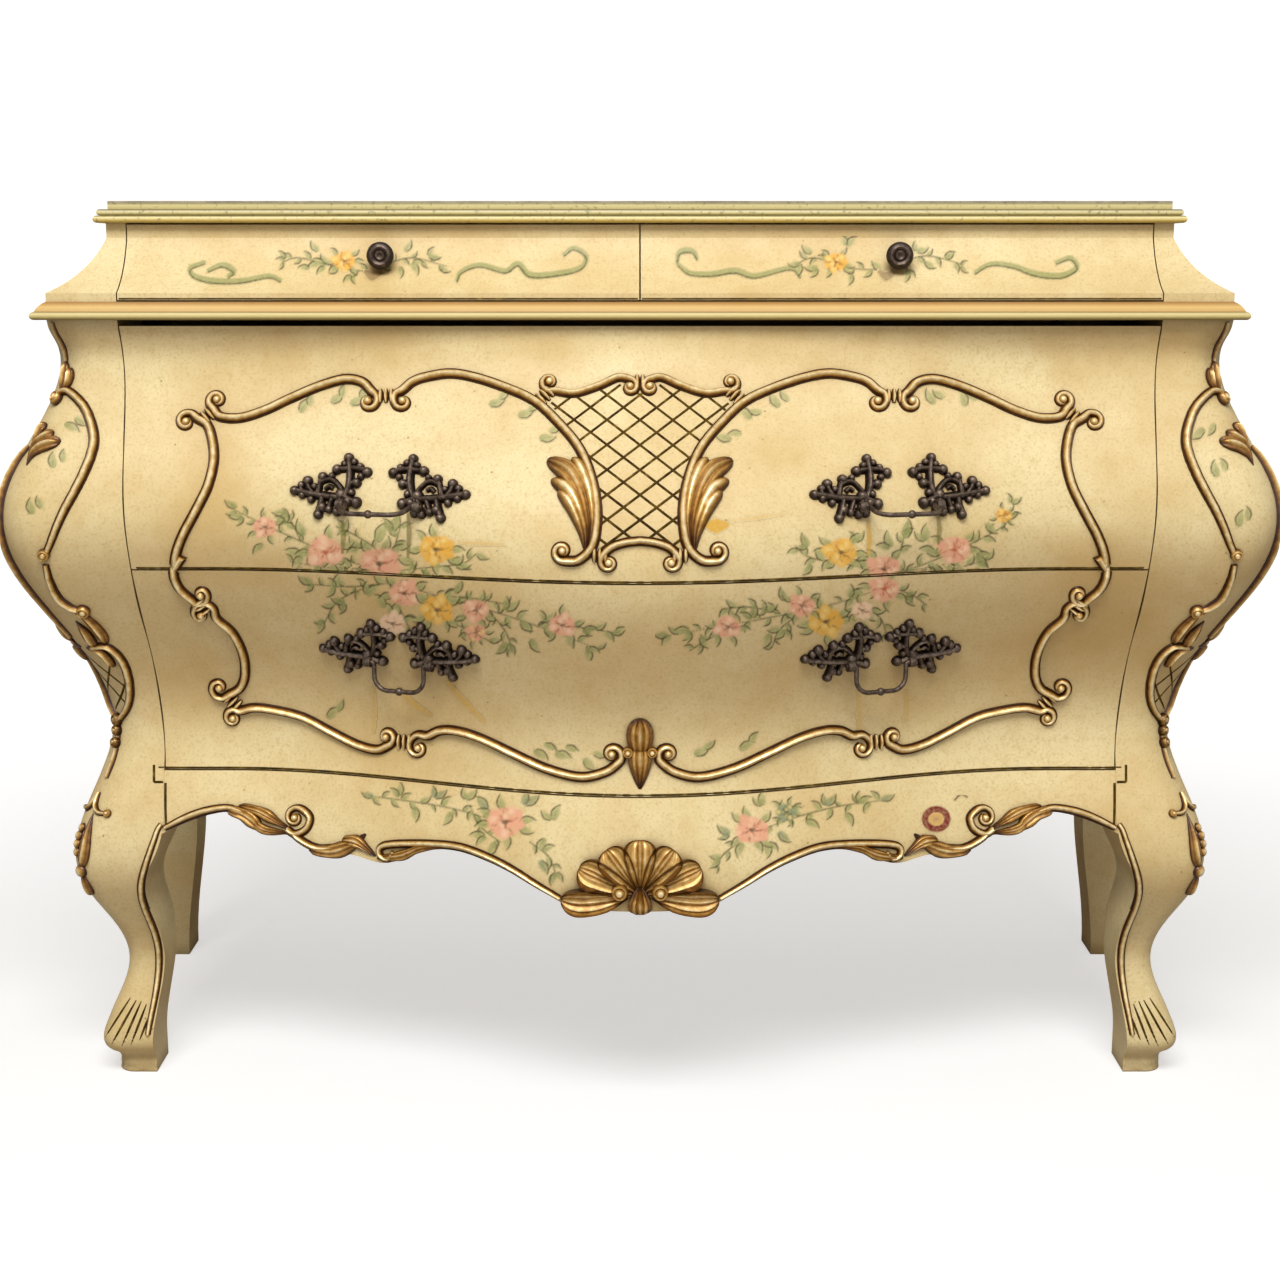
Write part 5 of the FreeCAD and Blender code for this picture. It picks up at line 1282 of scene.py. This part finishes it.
# Roses of each spray: place, radius, colours and petals; leaves: place, angle, length; stems: lines
SPRAYS = {
    "upper_left_flowers": {
        "carrier": "upper", "page": (215, 495, 500, 586),
        "stems": [[(380, 574), (340, 562), (300, 545), (262, 528), (230, 512)],
                  [(375, 572), (330, 572), (290, 566)], [(385, 572), (375, 552), (350, 536), (336, 530)],
                  [(390, 572), (394, 552), (400, 530)], [(395, 574), (430, 570), (462, 566), (476, 556)],
                  [(300, 545), (292, 528), (282, 512)]],
        "leaves": [(236, 512, 150, 14), (242, 520, 215, 14), (262, 548, 235, 14), (285, 528, 120, 16),
                   (303, 540, 100, 18), (302, 560, 190, 18), (340, 538, 60, 17), (358, 552, 160, 15),
                   (376, 545, 70, 22), (392, 535, 100, 20), (394, 550, 20, 17), (414, 566, 200, 17),
                   (424, 572, 300, 15), (455, 568, 30, 16), (345, 572, 210, 16)],
        "blooms": [(264, 531, 13, ROSE, PINK, BROWN, 4), (325, 556, 19, ROSE, PINK, ROSE, 5),
                   (379, 567, 20, ROSE, PINK, BROWN, 6), (436, 552, 18, AMBER, YELLOW, BROWN, 6)]},
    "lower_left_flowers": {
        "carrier": "lower", "page": (288, 577, 628, 662),
        "stems": [[(385, 584), (430, 596), (490, 612), (540, 628), (600, 650)],
                  [(490, 614), (505, 632), (512, 650)], [(540, 626), (580, 628), (620, 634)],
                  [(390, 586), (350, 590), (308, 588)], [(372, 588), (338, 604), (322, 628)],
                  [(392, 588), (400, 612), (412, 636)], [(430, 598), (470, 600), (508, 606)],
                  [(440, 620), (470, 632), (492, 644)]],
        "leaves": [(312, 588, 160, 16), (335, 592, 100, 15), (322, 622, 240, 15), (345, 606, 200, 15),
                   (386, 610, 130, 17), (366, 598, 60, 16), (455, 596, 60, 15), (505, 612, 60, 17),
                   (520, 622, 330, 16), (508, 644, 260, 16), (530, 640, 300, 16), (545, 622, 80, 14),
                   (582, 632, 20, 15), (588, 648, 310, 15), (612, 634, 10, 13), (420, 628, 280, 14),
                   (470, 628, 290, 14)],
        "blooms": [(404, 596, 16, ROSE, PINK, BROWN, 5), (392, 626, 14, ROSE, BLUSH, BROWN, 5),
                   (437, 612, 17, AMBER, YELLOW, BROWN, 6), (476, 612, 14, ROSE, PINK, BROWN, 5),
                   (476, 634, 11, AMBER, PINK, BROWN, 5), (562, 626, 14, ROSE, PINK, BROWN, 5)]},
    "upper_right_flowers": {
        "carrier": "upper", "page": (782, 485, 1026, 578),
        "stems": [[(885, 572), (920, 562), (960, 545), (1000, 524), (1014, 508)],
                  [(885, 572), (850, 562), (812, 556), (796, 546)], [(888, 570), (900, 548), (905, 526)],
                  [(890, 572), (940, 568), (985, 556)]],
        "leaves": [(1004, 514, 30, 14), (1010, 500, 70, 12), (985, 520, 330, 15), (975, 552, 340, 16),
                   (935, 548, 180, 16), (925, 538, 110, 17), (905, 536, 80, 20), (890, 545, 140, 17),
                   (870, 556, 190, 15), (808, 545, 150, 15), (812, 562, 220, 14), (855, 540, 80, 14)],
        "blooms": [(841, 550, 17, AMBER, YELLOW, BROWN, 6), (884, 566, 17, ROSE, PINK, BROWN, 5),
                   (954, 546, 17, ROSE, PINK, ROSE, 5), (1003, 512, 9, AMBER, YELLOW, AMBER, 5)]},
    "lower_right_flowers": {
        "carrier": "lower", "page": (655, 572, 930, 662),
        "stems": [[(890, 582), (840, 600), (790, 612), (740, 622), (664, 636)],
                  [(800, 612), (780, 628), (772, 646)], [(885, 582), (912, 592), (926, 602)],
                  [(860, 600), (880, 616), (886, 632)], [(780, 612), (750, 606), (722, 608)],
                  [(730, 626), (706, 640), (690, 650)]],
        "leaves": [(668, 635, 170, 14), (690, 630, 220, 15), (700, 636, 300, 14), (752, 618, 120, 16),
                   (770, 632, 250, 16), (765, 610, 70, 14), (785, 600, 110, 15), (850, 596, 60, 17),
                   (872, 588, 20, 16), (905, 592, 340, 14), (858, 622, 320, 15), (785, 628, 260, 14)],
        "blooms": [(884, 586, 16, ROSE, PINK, ROSE, 5), (826, 620, 18, RUST, YELLOW, BROWN, 6),
                   (802, 604, 14, ROSE, PINK, BROWN, 5), (728, 626, 14, ROSE, PINK, BROWN, 5),
                   (862, 608, 11, ROSE, BLUSH, BROWN, 5)]},
    "apron_left_flowers": {
        "carrier": "apron", "page": (358, 782, 568, 888),
        "stems": [[(366, 796), (400, 800), (450, 808), (500, 822)], [(530, 842), (548, 856), (556, 874)],
                  [(470, 806), (480, 826), (500, 842)]],
        "leaves": [(372, 797, 150, 13), (398, 797, 110, 15), (414, 806, 280, 16), (434, 798, 60, 15),
                   (452, 812, 240, 15), (466, 800, 70, 15), (488, 810, 140, 18), (486, 836, 200, 16),
                   (496, 842, 240, 17), (524, 805, 60, 18), (545, 838, 250, 16), (552, 820, 100, 17),
                   (540, 860, 300, 16), (556, 872, 280, 14)],
        "blooms": [(505, 822, 19, ROSE, PINK, BROWN, 6)]},
    "apron_right_flowers": {
        "carrier": "apron", "page": (706, 780, 970, 878),
        "stems": [[(884, 800), (840, 806), (800, 816), (760, 830)], [(740, 842), (726, 852), (716, 864)]],
        "leaves": [(880, 800, 20, 14), (858, 803, 60, 14), (846, 812, 300, 15), (826, 806, 80, 15),
                   (806, 820, 320, 15), (785, 815, 60, 18), (778, 832, 330, 16), (762, 806, 110, 15),
                   (742, 842, 250, 16), (730, 834, 170, 15), (720, 858, 230, 14), (768, 842, 290, 16)],
        "blooms": [(752, 830, 17, ROSE, PINK, BROWN, 6), (786, 812, 11, MOSS, TEAL, MOSS, 5)]},
}
# Painted shadows and reflections of the upper bails, dark streaks below the handle posts over the sprays: place
# across, from and to, and colour
BAIL_SHADOW_STREAKS = {"upper_left_flowers": [(342, 524, 556, OLIVE), (408, 514, 560, OLIVE)],
         "upper_right_flowers": [(868, 520, 552, RUST), (938, 512, 540, OLIVE)]}
BAIL_SHADOW_WIDE = 5


def flowers():
    for name, spray in SPRAYS.items():
        page = sheet(*spray["page"])
        for points in spray["stems"]:
            twig(page, points)
        dark = TEAL if spray["carrier"] == "apron" else SAGE
        for index, (u, v, angle, long) in enumerate(spray["leaves"]):
            sprig(page, u, v, angle, long, 1 + index % 2, (SAGE, MIST) if index % 3 else (dark, SAGE))
        for u, v, radius, root, tip, heart, petals in spray["blooms"]:
            bloom(page, u, v, radius, root, tip, heart, petals, u % 60)
        # painted shadows and reflections of the bails
        for u, v0, v1, shade in BAIL_SHADOW_STREAKS.get(name, []):
            trail(page, [(u, v0), (u + 1, (v0 + v1) / 2), (u, v1)], BAIL_SHADOW_WIDE, shade, 0.75, 0.5)
        painted(name, page, spray["carrier"])


# Sage scrolls and small sprays on the frieze drawers
FRIEZE_SCROLLS = {"left": [[(204, 262), (190, 268), (194, 276), (212, 281), (240, 281), (268, 276),
                            (280, 280)],
                           [(208, 270), (222, 265), (233, 271), (228, 276)],
                           [(457, 280), (462, 271), (480, 265), (505, 271), (518, 264), (530, 275),
                            (556, 274), (580, 268), (586, 256), (574, 248), (564, 254)]],
                  "right": [[(677, 262), (680, 252), (692, 251), (697, 258)],
                            [(678, 264), (690, 273), (712, 274), (735, 271),
                             (755, 276), (790, 268), (800, 276)],
                            [(975, 272), (990, 264), (1012, 266), (1035, 274), (1060, 276), (1076, 268),
                             (1070, 258), (1056, 262)]]}
FRIEZE_SPRAYS = {"left": {"blooms": [(344, 261, 12, AMBER, YELLOW, BROWN, 6)],
                          "leaves": [(318, 252, 130, 13), (325, 266, 190, 14), (310, 268, 170, 12),
                                     (352, 275, 250, 11), (405, 252, 60, 13), (412, 262, 330, 14),
                                     (400, 266, 280, 12), (428, 256, 20, 13), (440, 268, 340, 11),
                                     (285, 260, 150, 11)]},
                 "right": {"blooms": [(836, 262, 12, AMBER, YELLOW, BROWN, 6)],
                           "leaves": [(812, 254, 130, 13), (818, 268, 200, 14), (800, 264, 170, 12),
                                      (846, 246, 80, 14), (852, 274, 260, 11), (916, 252, 60, 13),
                                      (924, 262, 330, 13), (908, 270, 290, 12), (944, 258, 20, 12),
                                      (960, 266, 0, 10)]}}
FRIEZE_PAGES = {"left": (180, 236, 596, 292), "right": (668, 236, 1088, 292)}
FRIEZE_TWIGS = {
    "left": [[(372, 272), (340, 268), (300, 258), (282, 262)], [(378, 268), (410, 258), (446, 266)]],
    "right": [[(886, 270), (850, 268), (815, 258), (796, 264)], [(892, 266), (925, 256), (962, 264)]]}
FRIEZE_WIDE, FRIEZE_SHADE_WIDE, FRIEZE_SHADE_DOWN = 6.5, 1.6, 2.2


def frieze_painting():
    for side in SIDES:
        page = sheet(*FRIEZE_PAGES[side])
        for points in FRIEZE_SCROLLS[side]:
            trail(page, points, FRIEZE_WIDE, VERDIGRIS, 0.9, 0.5)
            below = [(u, v + FRIEZE_SHADE_DOWN) for u, v in points]
            trail(page, below, FRIEZE_SHADE_WIDE, MOSS, 0.85, 0.2)
        for points in FRIEZE_TWIGS[side]:
            twig(page, points)
        for index, (u, v, angle, long) in enumerate(FRIEZE_SPRAYS[side]["leaves"]):
            sprig(page, u, v, angle, long, 1 + index % 2)
        for rose in FRIEZE_SPRAYS[side]["blooms"]:
            bloom(page, *rose)
        painted(f"frieze_{side}_painting", page, f"frieze_{side}")


# Ring flower on the right of the apron: its sheet, middle, radius, ring and the small curl beside it
RING_PAGE, RING_MIDDLE, RING_RADIUS = (915, 795, 975, 840), (934, 819), 11
RING_POINTS, RING_FLAT, RING_WIDE, RING_HEART = 10, 0.9, 6, (0.8, 0.7)
RING_CURL, CURL_WIDE = [(952, 800), (958, 794), (964, 797)], 2


def ring_flower():
    page = sheet(*RING_PAGE)
    u, v = RING_MIDDLE
    ring = [(u + RING_RADIUS * math.cos(t), v - RING_FLAT * RING_RADIUS * math.sin(t))
            for t in np.linspace(0, 2 * math.pi, RING_POINTS)]
    dab(page, u, v, RING_RADIUS * RING_HEART[0], RING_RADIUS * RING_HEART[1], 0, AMBER, YELLOW, 0.7)
    trail(page, ring, RING_WIDE, WINE, 1, 0)
    trail(page, RING_CURL, CURL_WIDE, BROWN, 0.95, 0.3)
    painted("apron_ring_flower", page, "apron")


# Stains of age, and painted shadows under the knobs of the frieze drawers: line, width, colour and strength
STAINS_AND_KNOB_SHADOWS = {"upper": [([(708, 524), (716, 525), (725, 524)], 15, RUST, 0.9),
                    ([(730, 520), (760, 516), (785, 512)], 3, RUST, 0.25),
                    ([(458, 545), (480, 545), (503, 546)], 4, RUST, 0.35)],
          "lower": [([(398, 690), (412, 704), (430, 716)], 5, RUST, 0.5),
                    ([(372, 690), (373, 712), (372, 732)], 4, RUST, 0.35),
                    ([(448, 684), (466, 704), (484, 722)], 5, RUST, 0.5),
                    ([(858, 690), (859, 715), (858, 735)], 5, RUST, 0.4),
                    ([(905, 690), (906, 706), (905, 720)], 4, RUST, 0.4)],
          # painted shadows under the knobs
          "frieze_left": [([(366, 272), (372, 276), (380, 273)], 9, BROWN, 0.6)],
          "frieze_right": [([(880, 272), (886, 276), (893, 273)], 9, BROWN, 0.6)]}
STAIN_AND_SHADOW_MARGIN = 12


def stains_and_knob_shadows():
    for carrier, lines in STAINS_AND_KNOB_SHADOWS.items():
        for index, (points, wide, colour, strength) in enumerate(lines):
            us, vs = zip(*points)
            page = sheet(min(us) - STAIN_AND_SHADOW_MARGIN, min(vs) - STAIN_AND_SHADOW_MARGIN, max(us) + STAIN_AND_SHADOW_MARGIN,
                         max(vs) + STAIN_AND_SHADOW_MARGIN)
            trail(page, points, wide, colour, strength, 0.5)
            painted(f"{carrier}_stain_and_shadow_{index}", page, carrier, SKIN_LIFT * 2)


# Pairs of small leaves inside the scrolls: place and angle; the right post has those of the left, mirrored
LEAF_MARKS = {"upper": [(305, 411, 60), (337, 402, 55), (356, 403, 40), (495, 403, 30), (524, 414, 20),
                        (545, 436, 15), (785, 404, 120), (758, 415, 150), (738, 436, 165), (972, 402, 120),
                        (940, 400, 125)],
              "lower": [(540, 747, -35), (561, 750, -25), (589, 756, -30), (700, 752, 25), (745, 746, 30),
                        (330, 716, 40)],
              "leg": [(70, 423, -40), (58, 470, 80), (37, 518, 100)]}
LEAF_MARKS["leg_right"] = [(PHOTO_SIZE - u, v, 180 - angle) for u, v, angle in LEAF_MARKS["leg"]]
MARK_MARGIN = 22
# Each pair: across, down, turn, length and shades
MARK_PAIR = [(-6, 3, 0, 17, (SAGE, MIST)), (4, -3, 12, 14, (MIST, SAGE))]


def leaf_marks():
    for carrier, marks in LEAF_MARKS.items():
        for index, (u, v, angle) in enumerate(marks):
            page = sheet(u - MARK_MARGIN, v - MARK_MARGIN, u + MARK_MARGIN, v + MARK_MARGIN)
            for across, down, turn, long, shades in MARK_PAIR:
                sprig(page, u + across, v + down, angle + turn, long, 1, shades)
            painted(f"{carrier}_leaf_mark_{index}", page, carrier)


upper_gilding()
lower_gilding()
apron_gilding()
shell()
post_carving()
legs()
lattice()
edge_shade_lines()
for drawer_name in SPANS:
    for side_name in SIDES:
        plates(drawer_name, side_name)
for side_name in SIDES:
    knob(side_name)
flowers()
frieze_painting()
ring_flower()
stains_and_knob_shadows()
leaf_marks()


# White studio paper: a matt floor that runs up into a backdrop far behind the chest and shows white
FLOOR_SIZE, FLOOR_BACK, FLOOR_FAR, WALL_HIGH = (24, 16, 1), 3, 10, 9
PAPER, GLOW_NEAR, GLOW_FAR, GLOW_LEAST = "#C0C0C0", 0.2, 2.4, 0.58


def stage():
    bpy.ops.object.select_all(action="DESELECT")
    bpy.ops.mesh.primitive_plane_add(size=1, location=(0, FLOOR_BACK, 0))
    floor = bpy.context.active_object
    floor.name = "floor"
    floor.scale = FLOOR_SIZE
    bpy.ops.object.transform_apply(location=True, rotation=False, scale=True)
    bpy.ops.object.mode_set(mode="EDIT")
    bpy.ops.mesh.select_all(action="DESELECT")
    bpy.ops.object.mode_set(mode="OBJECT")
    for edge in floor.data.edges:
        edge.select = all(floor.data.vertices[i].co.y > FLOOR_FAR for i in edge.vertices)
    bpy.ops.object.mode_set(mode="EDIT")
    bpy.ops.mesh.select_mode(type="EDGE")
    bpy.ops.mesh.extrude_region_move(TRANSFORM_OT_translate={"value": (0, 0, WALL_HIGH)})
    bpy.ops.object.mode_set(mode="OBJECT")
    look, tree, shader = material("white_studio_paper")
    path = add(tree, "LightPath")
    depth = add(tree, "SeparateXYZ", {0: add(tree, "TexCoord").outputs["Object"]})
    lift = add(tree, "MapRange", {"Value": depth.outputs["Y"], "From Min": GLOW_NEAR, "From Max": GLOW_FAR,
                                  "To Min": GLOW_LEAST, "To Max": 1})
    glow = add(tree, "Math", {0: path.outputs["Is Camera Ray"], 1: lift.outputs[0]}, operation="MULTIPLY")
    feed(tree, shader, {"Base Color": linear(PAPER), "Roughness": 0.9, "Emission Color": linear("#FFFFFF"),
                        "Emission Strength": glow.outputs[0]})
    floor.data.materials.append(look)


# Soft studio light: each lamp's place, target, width, height and power, and a dim warm sky seen as white
LAMPS = {"key": ((-0.15, -2.2, 3.25), (0, -0.15, 0.5), 2.4, 1.2, 119),
         "front": ((0.2, -3.4, 0.75), (0, -0.1, 0.4), 2.8, 1.2, 14)}
SKY_WARM, SKY_SEEN, SKY_LEVEL = "#FFE2B8", "#FFFFFF", 0.14


def lighting():
    for name, (place, target, width, height, power) in LAMPS.items():
        data = bpy.data.lights.new(name, "AREA")
        data.shape, data.size, data.size_y, data.energy = "RECTANGLE", width, height, power
        made = bpy.data.objects.new(name, data)
        made.location = place
        made.rotation_euler = (Vector(target) - Vector(place)).to_track_quat("-Z", "Y").to_euler()
        bpy.context.scene.collection.objects.link(made)
    world = bpy.data.worlds.new("studio")
    bpy.context.scene.world = world
    world.use_nodes = True
    tree = world.node_tree
    path = add(tree, "LightPath")
    seen = add(tree, "Math", {0: path.outputs["Is Camera Ray"], 1: path.outputs["Is Glossy Ray"]},
               operation="MAXIMUM").outputs[0]
    level = add(tree, "MapRange", {"Value": seen, "To Min": SKY_LEVEL, "To Max": 1})
    warmth = add(tree, "Mix", {0: seen, 6: linear(SKY_WARM), 7: linear(SKY_SEEN)}, data_type="RGBA")
    feed(tree, tree.nodes["Background"], {"Color": warmth.outputs[2], "Strength": level.outputs[0]})


def camera():
    data = bpy.data.cameras.new("camera")
    data.sensor_width = SENSOR
    data.lens = FOCAL / PHOTO_SIZE * SENSOR
    made = bpy.data.objects.new("camera", data)
    made.location = EYE
    made.rotation_euler = (math.pi / 2 - TILT, 0, 0)
    bpy.context.scene.collection.objects.link(made)
    bpy.context.scene.camera = made


stage()
lighting()
camera()
bpy.context.scene.view_settings.view_transform = "Standard"
